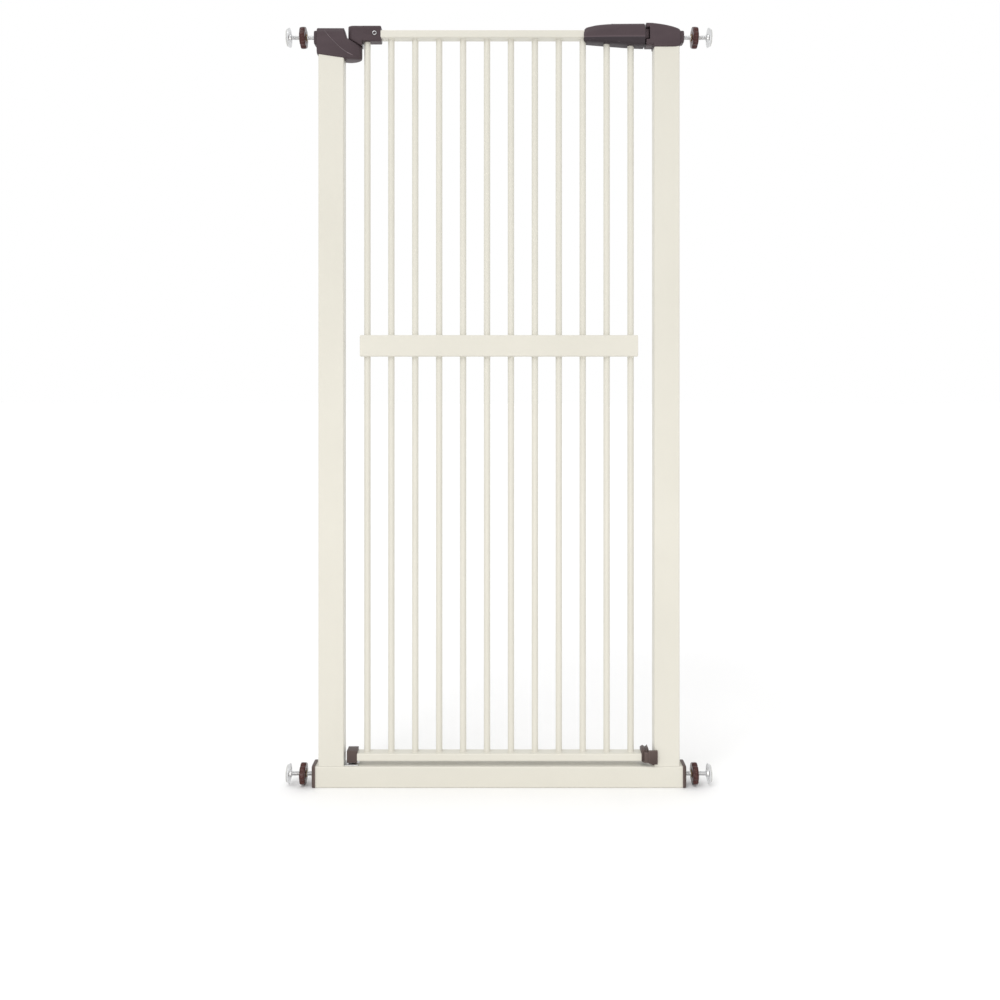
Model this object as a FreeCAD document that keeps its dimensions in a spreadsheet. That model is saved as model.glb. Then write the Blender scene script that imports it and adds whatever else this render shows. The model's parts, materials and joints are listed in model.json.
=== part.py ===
import FreeCAD, Part
import math
import os
import re
import Sketcher
from FreeCAD import Placement, Rotation, Vector

# An extra-tall walk-through pet gate that is clamped between two walls by four
# threaded spindles.  X runs across the doorway (hinge side negative), the door
# opens towards -Y, Z is up and the threshold rail lies on the floor at Z = 0.

DIMENSIONS = {
    # frame
    "passage_width": 608.0,
    "post_width": 50.0,
    "post_depth": 30.0,
    "post_top": 1484.0,
    "frame_wall": 1.5,
    "tube_corner": 2.5,
    "rail_height": 42.0,
    "rail_depth": 32.0,
    "rail_overhang": 6.0,
    # plugs in the ends of the threshold rail
    "end_cap_thick": 6.5,
    "end_cap_height": 44.5,
    "end_cap_depth": 36.0,
    "end_cap_plug": 14.0,
    # moulded caps on the two posts
    "cap_depth": 38.0,
    "cap_top": 1489.0,
    "cap_over_post": 3.0,
    "cap_round": 2.0,
    "socket_gap": 0.2,
    "stub_out": 363.3,
    "stub_half_depth": 13.0,
    "stub_length": 12.0,
    "spindle_bore_depth": 16.0,
    "hinge_cap_outer_low": 1442.0,
    "hinge_cap_inner_low": 1431.5,
    "stub_bottom": 1458.0,
    "stub_top": 1485.0,
    # rising hinge
    "pivot_out": 284.0,
    "ramp_level": 1462.0,
    "ramp_slope": 0.55,
    "lobe_radius": 14.5,
    "lobe_bottom": 1428.0,
    "lobe_gap": 0.6,
    "ramp_gap": 0.3,
    "nose_radius": 13.0,
    "nose_low": 1450.0,
    "neck_half_depth": 9.0,
    "notch_edge": 298.5,
    "pin_radius": 4.0,
    "pin_bore": 4.08,
    "pin_bottom": 1431.0,
    "pin_top": 1492.0,
    "pin_head_radius": 6.5,
    "pin_head_thick": 2.5,
    "ramp_half_length": 20.0,
    "clear_height": 40.0,
    "foot_plate_thick": 2.0,
    "foot_plate_half_depth": 12.0,
    "foot_plate_reach": 8.0,
    "foot_pin_top": 70.0,
    # door
    "bar_count": 12,
    "bar_pitch": 47.2,
    "bar_radius": 6.3,
    "bar_wall": 0.8,
    "door_depth": 25.0,
    "door_wall": 1.2,
    "door_rail_height": 15.0,
    "bottom_rail_low": 51.0,
    "bottom_rail_half": 279.5,
    "top_rail_low": 1470.5,
    "top_rail_left": 267.0,
    "top_rail_right": 268.0,
    "mid_rail_low": 845.0,
    "mid_rail_height": 42.0,
    "mid_rail_half": 271.5,
    "mid_plug_thick": 1.5,
    "mid_plug_depth": 5.0,
    "plug_gap": 0.2,
    "arm_right": 230.0,
    "arm_low": 1464.0,
    "arm_round": 2.0,
    "arm_high": 1494.6,
    "corner_cap_out": 298.5,
    "corner_cap_low": 48.0,
    "corner_cap_high": 71.5,
    "corner_cap_half_depth": 13.0,
    "corner_cap_round": 2.0,
    "corner_plug_length": 16.0,
    "stop_arm_out": 310.0,
    "stop_arm_thick": 5.6,
    "stop_arm_front": 21.4,
    # handle and latch
    "handle_left": 166.5,
    "handle_right": 286.0,
    "handle_top": 1500.0,
    "handle_low": 1457.5,
    "handle_end_half_depth": 19.0,
    "handle_tip_half_depth": 14.2,
    "handle_screw_side": 13.0,
    "handle_tip_screw": 10.0,
    "handle_taper_length": 70.0,
    "handle_screw_depth": 8.0,
    "keel_flat_half_depth": 11.0,
    "shell_round": 1.5,
    "tongue_out": 293.3,
    "tongue_half_depth": 10.0,
    "tongue_half_height": 11.0,
    "bolt_level": 1478.0,
    "bolt_half_width": 6.0,
    "bolt_half_height": 4.0,
    "bolt_left": 222.0,
    "bolt_right": 292.8,
    "bolt_gap": 0.2,
    "bolt_throw": 9.5,
    "bolt_round": 1.0,
    "peg_length": 4.5,
    "slide_neck_left": 229.0,
    "slide_neck_length": 8.0,
    "slide_neck_half_width": 3.0,
    "slide_top": 1499.4,
    "slide_thick": 2.8,
    "slide_grooves": 6,
    "groove_width": 1.4,
    "groove_depth": 0.8,
    "groove_margin": 4.0,
    "slide_left": 221.0,
    "slide_length": 26.0,
    "slide_half_width": 7.0,
    "keeper_left": 288.5,
    "keeper_wall": 295.6,
    "keeper_back": 11.5,
    "keeper_half_height": 12.5,
    "latch_cap_low": 1450.0,
    # spindles
    "span_half": 418.0,
    "top_spindle_level": 1474.0,
    "low_spindle_level": 22.5,
    "rod_radius": 4.0,
    "rod_hole": 4.3,
    "rod_inner": 318.0,
    "rod_tip_round": 0.8,
    "disc_radius": 19.0,
    "disc_thick": 2.0,
    "pad_radius": 16.5,
    "pad_thick": 1.6,
    "hub_radius": 6.5,
    "hub_length": 6.0,
    "nut_middle": 385.5,
    "nut_thick": 12.5,
    "nut_radius": 21.5,
    "nut_flutes": 8,
    "nut_round": 2.5,
    "flute_radius": 5.0,
    "flute_centre": 24.8,
    "insert_radius": 7.0,
    "insert_proud": 1.0,
    "thread_gap": 0.08,
    # screws
    "screw_radius": 2.0,
    "screw_hole": 2.05,
    "screw_head_radius": 4.2,
    "screw_head_thick": 2.2,
    "screw_length": 9.0,
}

doc = FreeCAD.newDocument("pet_gate")
sheet = doc.addObject("Spreadsheet::Sheet", "Dims")
for row, (alias, size) in enumerate(DIMENSIONS.items(), start=1):
    sheet.set(f"A{row}", alias)
    sheet.set(f"B{row}", str(size))
    sheet.setAlias(f"B{row}", alias)
doc.recompute()

SUBPARTS = []


# ---------------------------------------------------------------- helpers

def on_sheet(formula):
    """The formula as an expression, with each dimension's name pointing at its cell."""
    def cell(word):
        name = word.group()
        return "Dims." + name if name in DIMENSIONS else name
    return re.sub(r"[a-z][a-z_]*[a-z]", cell, str(formula))


def bind(thing, prop, formula):
    thing.setExpression(prop, on_sheet(formula))


def keep(thing):
    """Marks an object as a sub-part of the gate, written to its own file."""
    SUBPARTS.append(thing)
    return thing


def new_body(name, kept=True):
    body = doc.addObject("PartDesign::Body", name)
    body.Label = name
    return keep(body) if kept else body


def place(thing, across=0, up=0, turned=False):
    """Moves a sub-part modelled round the origin to its place; turned faces it to -X."""
    angle = 180 if turned else 0
    thing.Placement = Placement(Vector(0, 0, 0), Rotation(Vector(0, 0, 1), angle))
    bind(thing, "Placement.Base.x", across)
    bind(thing, "Placement.Base.z", up)


def new_sketch(body, plane, offset=None):
    """A sketch on one of the body's own planes, or offset along that plane's normal."""
    sketch = body.newObject("Sketcher::SketchObject", body.Name + "_sketch")
    origin_plane = next(f for f in body.Origin.OriginFeatures if f.Role == plane + "_Plane")
    sketch.AttachmentSupport = [(origin_plane, "")]
    sketch.MapMode = "FlatFace"
    if offset is not None:
        bind(sketch, "AttachmentOffset.Base.z", offset)
    return sketch


def dimension(sketch, kind, *target, start, formula):
    """A driving constraint whose value comes from the sheet."""
    index = sketch.addConstraint(Sketcher.Constraint(kind, *target, start))
    bind(sketch, f"Constraints[{index}]", formula)


def outline(sketch, corners):
    """A closed outline of straight edges; every corner is a pair of formulas."""
    count = len(corners)
    first = sketch.GeometryCount
    start = [
        Vector(math.cos(2 * math.pi * i / count), math.sin(2 * math.pi * i / count), 0)
        for i in range(count)
    ]
    for i in range(count):
        sketch.addGeometry(Part.LineSegment(start[i], start[(i + 1) % count]))
    for i in range(count):
        following = first + (i + 1) % count
        sketch.addConstraint(Sketcher.Constraint("Coincident", first + i, 2, following, 1))
    for i, (across, up) in enumerate(corners):
        dimension(sketch, "DistanceX", -1, 1, first + i, 1, start=start[i].x, formula=across)
        dimension(sketch, "DistanceY", -1, 1, first + i, 1, start=start[i].y, formula=up)


def rectangle(sketch, left, low, right, high):
    outline(sketch, [(left, low), (right, low), (right, high), (left, high)])


def centred(sketch, width, height):
    rectangle(sketch, f"-({width}) / 2", f"-({height}) / 2", f"({width}) / 2", f"({height}) / 2")


def circle(sketch, across, up, radius):
    index = sketch.addGeometry(Part.Circle(Vector(1, 1, 0), Vector(0, 0, 1), 1))
    dimension(sketch, "Radius", index, start=1, formula=radius)
    dimension(sketch, "DistanceX", -1, 1, index, 3, start=1, formula=across)
    dimension(sketch, "DistanceY", -1, 1, index, 3, start=1, formula=up)


def sweep(body, kind, sketch, length, side, reverse):
    feature = body.newObject("PartDesign::" + kind, body.Name + "_" + kind.lower())
    feature.Profile = sketch
    feature.SideType = side
    feature.Reversed = reverse
    if length == "through":
        feature.Type = "ThroughAll"
    else:
        bind(feature, "Length", length)
    body.Tip = feature
    return feature


def pad(body, sketch, length, side="One side", reverse=False):
    return sweep(body, "Pad", sketch, length, side, reverse)


def pocket(body, sketch, length="through", side="Symmetric", reverse=False):
    """Cuts the sketch out of the body and stops if nothing was removed."""
    doc.recompute()
    before = body.Shape.Volume
    feature = sweep(body, "Pocket", sketch, length, side, reverse)
    doc.recompute()
    if body.Shape.Volume > before - 0.01:
        raise ValueError(f"{feature.Name} cuts nothing")
    return feature


def round_edges(body, radius, chosen):
    """Fillets the edges of the body's last feature that the test picks."""
    doc.recompute()
    base = body.Tip
    names = [f"Edge{i}" for i, edge in enumerate(base.Shape.Edges, start=1) if chosen(edge)]
    if not names:
        raise ValueError(f"no edge of {body.Name} to round")
    feature = body.newObject("PartDesign::Fillet", body.Name + "_fillet")
    feature.Base = (base, names)
    bind(feature, "Radius", radius)
    body.Tip = feature
    doc.recompute()
    if "Invalid" in feature.State:
        raise ValueError(f"{feature.Name}: {feature.getStatusString()}")


def runs_along(edge, axis):
    """True for a straight edge parallel to the axis."""
    if not isinstance(edge.Curve, Part.Line):
        return False
    return abs(edge.Curve.Direction.normalize().dot(axis)) > 0.999


def outer_corner(edge, axis, box):
    """True for a straight edge along the axis at a corner of the box across it."""
    middle = edge.BoundBox.Center
    across = [
        (middle.x, box.XMin, box.XMax, Vector(1, 0, 0)),
        (middle.y, box.YMin, box.YMax, Vector(0, 1, 0)),
        (middle.z, box.ZMin, box.ZMax, Vector(0, 0, 1)),
    ]
    at_side = [
        min(abs(value - low), abs(value - high)) < 0.01
        for value, low, high, direction in across
        if abs(direction.dot(axis)) < 0.5
    ]
    return runs_along(edge, axis) and all(at_side)


X_AXIS = Vector(1, 0, 0)
Z_AXIS = Vector(0, 0, 1)


def round_long_corners(body, radius, axis):
    doc.recompute()
    box = body.Tip.Shape.BoundBox
    round_edges(body, radius, lambda edge: outer_corner(edge, axis, box))


def box_tube(name, plane, width, height, length, wall, side="One side"):
    """A rectangular tube with rounded long corners, swept along the plane's normal."""
    body = new_body(name)
    section = new_sketch(body, plane)
    centred(section, width, height)
    centred(section, f"{width} - 2 * {wall}", f"{height} - 2 * {wall}")
    pad(body, section, length, side)
    round_long_corners(body, "tube_corner", Z_AXIS if plane == "XY" else X_AXIS)
    return body


def compound(name, pieces):
    """Several separate solids that share one node."""
    group = doc.addObject("Part::Compound", name)
    group.Label = name
    group.Links = pieces
    return keep(group)


def screw(name, across, depth, up, turn):
    """A pan-head screw at a point of the gate, its shank along +Z before the turn."""
    shank = doc.addObject("Part::Cylinder", name + "_shank")
    bind(shank, "Radius", "screw_radius")
    bind(shank, "Height", "screw_length")
    head = doc.addObject("Part::Cylinder", name + "_head")
    bind(head, "Radius", "screw_head_radius")
    bind(head, "Height", "screw_head_thick")
    bind(head, "Placement.Base.z", "-screw_head_thick")
    socket = doc.addObject("Part::Prism", name + "_socket")
    socket.Polygon = 6
    bind(socket, "Circumradius", "screw_radius * 0.7")
    bind(socket, "Height", "screw_head_thick * 0.6")
    bind(socket, "Placement.Base.z", "-screw_head_thick")
    blank = doc.addObject("Part::Fuse", name + "_blank")
    blank.Base = shank
    blank.Tool = head
    whole = doc.addObject("Part::Cut", name)
    whole.Base = blank
    whole.Tool = socket
    whole.Placement = Placement(Vector(0, 0, 0), turn)
    bind(whole, "Placement.Base.x", across)
    bind(whole, "Placement.Base.y", depth)
    bind(whole, "Placement.Base.z", up)
    return whole


INTO_PLUS_Z = Rotation()
INTO_PLUS_Y = Rotation(Vector(1, 0, 0), -90)
INTO_MINUS_Y = Rotation(Vector(1, 0, 0), 90)

POST_MIDDLE = "(passage_width / 2 + post_width / 2)"
RAIL_HALF = "(passage_width / 2 + post_width + rail_overhang)"
CAP_SCREW_LEVEL = "(post_top - 24)"
ARM_SCREW_PLACE = "(-arm_right - 14)"
ARM_SCREW_LEVEL = "(arm_high - 15.6)"
SLIDE_PEG_PLACE = "(slide_neck_left + slide_neck_length / 2)"
HANDLE_SCREW_PLACE = "(handle_right - 9)"
SCREW_SEAT = "(top_rail_low - 2)"
HANDLE_SCREWS = [
    ("handle_left + handle_tip_screw", "0"),
    (HANDLE_SCREW_PLACE, "-handle_screw_side"),
    (HANDLE_SCREW_PLACE, "handle_screw_side"),
]


# ---------------------------------------------------------------- frame

def make_post(name, side):
    """A post with the spindle hole in its outer wall and a cap-screw hole at the back."""
    body = box_tube(name, "XY", "post_width", "post_depth", "post_top - rail_height", "frame_wall")
    spindle_hole = new_sketch(body, "YZ", f"{side} * post_width / 2")
    circle(spindle_hole, 0, "top_spindle_level - rail_height", "rod_hole")
    pocket(body, spindle_hole, "frame_wall * 2", "One side", reverse=side < 0)
    screw_hole = new_sketch(body, "XZ", "-post_depth / 2")
    circle(screw_hole, 0, f"{CAP_SCREW_LEVEL} - rail_height", "screw_hole")
    pocket(body, screw_hole, "frame_wall * 2", "One side", reverse=True)
    place(body, f"{side} * {POST_MIDDLE}", "rail_height")


def make_threshold_rail():
    body = box_tube(
        "threshold_rail", "YZ", "rail_depth", "rail_height", f"2 * {RAIL_HALF}", "frame_wall", "Symmetric"
    )
    place(body, 0, "rail_height / 2")


def make_end_cap(name, side):
    """The moulded plug in the rail's end, bored for the lower spindle."""
    body = new_body(name)
    plate = new_sketch(body, "YZ", RAIL_HALF)
    rectangle(plate, "-end_cap_depth / 2", 0, "end_cap_depth / 2", "end_cap_height")
    pad(body, plate, "end_cap_thick")
    doc.recompute()
    outer_x = body.Shape.BoundBox.XMax
    round_edges(body, "end_cap_thick / 4", lambda edge: edge.BoundBox.XMin > outer_x - 0.3)
    plug = new_sketch(body, "YZ", RAIL_HALF)
    rectangle(
        plug,
        "-rail_depth / 2 + frame_wall + socket_gap",
        "frame_wall + socket_gap",
        "rail_depth / 2 - frame_wall - socket_gap",
        "rail_height - frame_wall - socket_gap",
    )
    pad(body, plug, "end_cap_plug", reverse=True)
    bore = new_sketch(body, "YZ", f"{RAIL_HALF} + end_cap_thick")
    circle(bore, 0, "low_spindle_level", "rod_hole")
    pocket(body, bore, "end_cap_thick + end_cap_plug", "One side")
    place(body, turned=side < 0)


def cut_post_socket(body, middle):
    """The blind socket under a cap that the post stands in."""
    socket = new_sketch(body, "XY", "lobe_bottom - cap_depth")
    rectangle(
        socket,
        f"{middle} - post_width / 2 - socket_gap",
        "-post_depth / 2 - socket_gap",
        f"{middle} + post_width / 2 + socket_gap",
        "post_depth / 2 + socket_gap",
    )
    pocket(body, socket, "post_top - lobe_bottom + cap_depth", "One side", reverse=True)


def add_spindle_stub(body, side):
    """The square boss on the cap's outer side that the upper spindle runs through."""
    stub = new_sketch(body, "XZ")
    inner = f"{side} * (stub_out - stub_length)"
    outer = f"{side} * stub_out"
    chamfer = f"{side} * (stub_out - 2.5)"
    outline(
        stub,
        [
            (inner, "stub_bottom - 4"),
            (chamfer, "stub_bottom"),
            (outer, "stub_bottom + 4"),
            (outer, "stub_top - 1.5"),
            (chamfer, "stub_top"),
            (inner, "stub_top"),
        ],
    )
    pad(body, stub, "2 * stub_half_depth", "Symmetric")


def cut_spindle_bore(body, side):
    bore = new_sketch(body, "YZ", f"{side} * (stub_out + 1)")
    circle(bore, 0, "top_spindle_level", "rod_hole")
    pocket(body, bore, "spindle_bore_depth", "One side", reverse=side < 0)


def cut_cap_screw_hole(body, side):
    hole = new_sketch(body, "XZ", "-cap_depth / 2")
    circle(hole, f"{side} * {POST_MIDDLE}", CAP_SCREW_LEVEL, "screw_hole")
    pocket(body, hole, "cap_over_post * 2", "One side", reverse=True)


def on_cap_face(edge):
    """True for an edge that lies in the front or the back face of a post cap."""
    return abs(abs(edge.BoundBox.Center.y) - DIMENSIONS["cap_depth"] / 2) < 0.01


def make_hinge_post_cap():
    """The left cap, with the round lobe whose sloping top lifts the opening door."""
    body = new_body("hinge_post_cap")
    shell = new_sketch(body, "XZ")
    outer = "-passage_width / 2 - post_width - cap_over_post"
    outline(
        shell,
        [
            (outer, "hinge_cap_outer_low"),
            ("-notch_edge", "hinge_cap_inner_low"),
            ("-notch_edge", "ramp_level + 8"),
            ("-passage_width / 2 + 0.5", "cap_top"),
            (f"{outer} + 3", "cap_top"),
            (outer, "cap_top - 3"),
        ],
    )
    pad(body, shell, "cap_depth", "Symmetric")
    round_edges(body, "cap_round", on_cap_face)
    neck = new_sketch(body, "XZ")
    rectangle(neck, "-notch_edge - 1", "lobe_bottom + 4", "-pivot_out", "ramp_level + lobe_radius")
    pad(body, neck, "2 * neck_half_depth", "Symmetric")
    lobe = new_sketch(body, "XY", "lobe_bottom")
    circle(lobe, "-pivot_out", 0, "lobe_radius")
    pad(body, lobe, "ramp_level - lobe_bottom + lobe_radius")
    doc.recompute()
    low = body.Shape.BoundBox.ZMin
    round_edges(
        body,
        "cap_round",
        lambda edge: isinstance(edge.Curve, Part.Circle) and edge.BoundBox.ZMax < low + 0.5,
    )
    above_ramp = new_sketch(body, "XZ")
    outline(
        above_ramp,
        [
            ("-notch_edge - 1", "ramp_level + ramp_slope * (notch_edge + 1 - pivot_out)"),
            ("-pivot_out + ramp_half_length", "ramp_level - ramp_slope * ramp_half_length"),
            ("-pivot_out + ramp_half_length", "ramp_level + clear_height"),
            ("-notch_edge - 1", "ramp_level + clear_height"),
        ],
    )
    pocket(body, above_ramp)
    add_spindle_stub(body, -1)
    cut_post_socket(body, f"-{POST_MIDDLE}")
    cut_spindle_bore(body, -1)
    cut_cap_screw_hole(body, -1)
    pin_bore = new_sketch(body, "XY", "pin_bottom - 1")
    circle(pin_bore, "-pivot_out", 0, "pin_bore")
    pocket(body, pin_bore, "pin_top - pin_bottom", "One side", reverse=True)


def make_latch_post_cap():
    """The right cap, with the open-fronted recess and the closed pocket for the bolt."""
    body = new_body("latch_post_cap")
    shell = new_sketch(body, "XZ")
    outer = "passage_width / 2 + post_width + cap_over_post"
    outline(
        shell,
        [
            ("keeper_left", "handle_low"),
            ("passage_width / 2 - 3", "handle_low"),
            ("passage_width / 2 - 3", "latch_cap_low"),
            (f"{outer} - 7", "latch_cap_low"),
            (outer, "latch_cap_low + 7"),
            (outer, "cap_top - 5.5"),
            (f"{outer} - 6", "cap_top - 2"),
            ("keeper_left + 40", "handle_top - 2"),
            ("keeper_left", "handle_top"),
        ],
    )
    pad(body, shell, "cap_depth", "Symmetric")
    round_edges(body, "cap_round", on_cap_face)
    add_spindle_stub(body, 1)
    cut_post_socket(body, POST_MIDDLE)
    cut_spindle_bore(body, 1)
    cut_cap_screw_hole(body, 1)
    recess = new_sketch(body, "YZ", "keeper_wall")
    rectangle(
        recess,
        "-cap_depth",
        "bolt_level - keeper_half_height",
        "keeper_back",
        "bolt_level + keeper_half_height",
    )
    pocket(body, recess, "through", "One side")
    keeper = new_sketch(body, "YZ", "bolt_right + bolt_throw + 0.5")
    rectangle(
        keeper,
        "-bolt_half_width - bolt_gap * 2",
        "bolt_level - bolt_half_height - bolt_gap * 2",
        "bolt_half_width + bolt_gap * 2",
        "bolt_level + bolt_half_height + bolt_gap * 2",
    )
    pocket(body, keeper, "through", "One side")


def make_lower_hinge_bracket():
    """The steel foot plate on the threshold with the welded lower pivot pin."""
    body = new_body("lower_hinge_bracket")
    plate = new_sketch(body, "XY", "rail_height")
    rectangle(
        plate,
        "-passage_width / 2",
        "-foot_plate_half_depth",
        "-pivot_out + foot_plate_reach",
        "foot_plate_half_depth",
    )
    pad(body, plate, "foot_plate_thick")
    pin = new_sketch(body, "XY", "rail_height")
    circle(pin, "-pivot_out", 0, "pin_radius")
    pad(body, pin, "foot_pin_top - rail_height")


def make_frame():
    for side, word in ((-1, "left"), (1, "right")):
        make_post(f"{word}_post", side)
        make_end_cap(f"rail_end_cap_{word}", side)
    make_threshold_rail()
    make_hinge_post_cap()
    make_latch_post_cap()
    make_lower_hinge_bracket()
    screws = []
    for side, word in ((-1, "left"), (1, "right")):
        across = f"{side} * {POST_MIDDLE}"
        screws.append(
            screw(f"cap_screw_{word}", across, "cap_depth / 2", CAP_SCREW_LEVEL, INTO_MINUS_Y)
        )
    compound("post_cap_screws", screws)


# ---------------------------------------------------------------- door

def bar_place(number):
    return f"({number} - (bar_count + 1) / 2) * bar_pitch"


def make_bar(number):
    """One round tube, from the bottom rail up to the underside of the top rail."""
    body = new_body(f"bar_{number:02d}")
    section = new_sketch(body, "XY")
    circle(section, 0, 0, "bar_radius")
    circle(section, 0, 0, "bar_radius - bar_wall")
    pad(body, section, "top_rail_low - bottom_rail_low - door_rail_height")
    place(body, bar_place(number), "bottom_rail_low + door_rail_height")


def make_top_rail():
    """The top tube, with the slot that the latch slide's neck moves in."""
    body = new_body("door_top_rail")
    section = new_sketch(body, "YZ", "-top_rail_left")
    low = "top_rail_low"
    high = "top_rail_low + door_rail_height"
    rectangle(section, "-door_depth / 2", low, "door_depth / 2", high)
    rectangle(
        section,
        "-door_depth / 2 + door_wall",
        f"{low} + door_wall",
        "door_depth / 2 - door_wall",
        f"{high} - door_wall",
    )
    pad(body, section, "top_rail_left + top_rail_right")
    round_long_corners(body, "tube_corner", X_AXIS)
    slot = new_sketch(body, "XY", high)
    rectangle(
        slot,
        "slide_neck_left - 1",
        "-slide_neck_half_width - 0.5",
        "slide_neck_left + slide_neck_length + bolt_throw + 1",
        "slide_neck_half_width + 0.5",
    )
    pocket(body, slot, "door_wall * 2", "One side")
    screw_hole = new_sketch(body, "XZ", "door_depth / 2")
    circle(screw_hole, ARM_SCREW_PLACE, ARM_SCREW_LEVEL, "screw_hole")
    pocket(body, screw_hole, "door_wall * 2", "One side")
    handle_hole = new_sketch(body, "XY", low)
    circle(handle_hole, "handle_left + handle_tip_screw", 0, "screw_hole")
    pocket(body, handle_hole, "door_wall * 2", "One side", reverse=True)


def make_mid_rail():
    """The wide middle tube, punched through for every bar."""
    body = box_tube(
        "door_mid_rail", "YZ", "door_depth", "mid_rail_height", "2 * mid_rail_half",
        "door_wall", "Symmetric",
    )
    hole = new_sketch(body, "XY")
    circle(hole, bar_place(1), 0, "bar_radius + 0.05")
    punched = pocket(body, hole)
    row = body.newObject("PartDesign::LinearPattern", "bar_holes")
    row.Originals = [punched]
    row.Direction = (hole, ["H_Axis"])
    row.Mode = "Extent"
    bind(row, "Length", "(bar_count - 1) * bar_pitch")
    bind(row, "Occurrences", "bar_count")
    body.Tip = row
    doc.recompute()
    place(body, 0, "mid_rail_low + mid_rail_height / 2")


def make_mid_rail_plugs():
    plugs = []
    for side, word in ((-1, "left"), (1, "right")):
        body = new_body(f"mid_plug_{word}", kept=False)
        plate = new_sketch(body, "YZ", "mid_rail_half")
        centred(plate, "door_depth", "mid_rail_height")
        pad(body, plate, "mid_plug_thick")
        round_long_corners(body, "tube_corner", X_AXIS)
        plug = new_sketch(body, "YZ", "mid_rail_half")
        inset = "2 * door_wall - 2 * plug_gap"
        centred(plug, f"door_depth - {inset}", f"mid_rail_height - {inset}")
        pad(body, plug, "mid_plug_depth", reverse=True)
        place(body, 0, "mid_rail_low + mid_rail_height / 2", turned=side < 0)
        plugs.append(body)
    compound("mid_rail_plugs", plugs)


def make_bottom_rail():
    body = box_tube(
        "door_bottom_rail",
        "YZ",
        "door_depth",
        "door_rail_height",
        "2 * bottom_rail_half",
        "door_wall",
        "Symmetric",
    )
    place(body, 0, "bottom_rail_low + door_rail_height / 2")


def add_rail_plug(body, side):
    """The tongue of a corner cap that fills the end of the bottom rail."""
    plug = new_sketch(body, "XZ")
    rectangle(
        plug,
        f"{side} * (bottom_rail_half - corner_plug_length)",
        "bottom_rail_low + door_wall + 0.1",
        f"{side} * (bottom_rail_half + 1)",
        "bottom_rail_low + door_rail_height - door_wall - 0.1",
    )
    pad(body, plug, "door_depth - 2 * door_wall - 0.2", "Symmetric")


def make_lower_pivot_cap():
    """The bottom corner of the door that turns on the lower pin."""
    body = new_body("lower_pivot_cap")
    block = new_sketch(body, "XZ")
    rectangle(block, "-corner_cap_out", "corner_cap_low", "-bottom_rail_half", "corner_cap_high")
    pad(body, block, "2 * corner_cap_half_depth", "Symmetric")
    doc.recompute()
    left = body.Shape.BoundBox.XMin
    round_edges(body, "corner_cap_round", lambda edge: abs(edge.BoundBox.XMax - left) < 0.01)
    add_rail_plug(body, -1)
    bore = new_sketch(body, "XY", "corner_cap_low")
    circle(bore, "-pivot_out", 0, "pin_bore")
    pocket(body, bore, "foot_pin_top - corner_cap_low + 0.8", "One side", reverse=True)


def make_catch_cap():
    """The other bottom corner, with the arm that stops against the front of the post."""
    body = new_body("catch_cap")
    block = new_sketch(body, "XZ")
    outline(
        block,
        [
            ("bottom_rail_half", "corner_cap_low + 3"),
            ("bottom_rail_half + 6", "corner_cap_low"),
            ("corner_cap_out - 5", "corner_cap_low + 2"),
            ("corner_cap_out - 5", "corner_cap_high + 4"),
            ("corner_cap_out - 9", "corner_cap_high"),
            ("bottom_rail_half + 5", "corner_cap_high + 3"),
            ("bottom_rail_half", "corner_cap_high"),
        ],
    )
    pad(body, block, "2 * corner_cap_half_depth", "Symmetric")
    arm = new_sketch(body, "XZ", "stop_arm_front - stop_arm_thick")
    outline(
        arm,
        [
            ("corner_cap_out - 6", "corner_cap_low + 2"),
            ("corner_cap_out - 2", "corner_cap_low + 1"),
            ("corner_cap_out + 3", "corner_cap_low - 1.5"),
            ("corner_cap_out + 7", "corner_cap_low"),
            ("stop_arm_out", "corner_cap_low"),
            ("stop_arm_out", "corner_cap_high + 3"),
            ("corner_cap_out - 6", "corner_cap_high + 3"),
        ],
    )
    pad(body, arm, "stop_arm_thick")
    root = new_sketch(body, "XZ", "corner_cap_half_depth - 4")
    rectangle(
        root,
        "corner_cap_out - 14",
        "corner_cap_low + 3",
        "corner_cap_out - 5",
        "corner_cap_high - 1",
    )
    pad(body, root, "stop_arm_front - corner_cap_half_depth + 3")
    add_rail_plug(body, 1)


def make_lobe_room():
    """The space kept free round the fixed lobe, under the sloping plane of the nose."""
    reach = doc.addObject("Part::Cylinder", "lobe_reach")
    bind(reach, "Radius", "lobe_radius + lobe_gap")
    bind(reach, "Height", "4 * lobe_radius")
    bind(reach, "Placement.Base.x", "-pivot_out")
    bind(reach, "Placement.Base.z", "ramp_level - 2 * lobe_radius")
    under = new_body("under_ramp", kept=False)
    wedge = new_sketch(under, "XZ")
    outline(
        wedge,
        [
            ("-pivot_out - ramp_half_length", "ramp_level - clear_height"),
            ("-pivot_out + ramp_half_length", "ramp_level - clear_height"),
            ("-pivot_out + ramp_half_length", "ramp_level - ramp_slope * ramp_half_length + ramp_gap"),
            ("-pivot_out - ramp_half_length", "ramp_level + ramp_slope * ramp_half_length + ramp_gap"),
        ],
    )
    pad(under, wedge, "2 * clear_height", "Symmetric")
    room = doc.addObject("Part::Common", "lobe_room")
    room.Base = reach
    room.Tool = under
    return room


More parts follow.
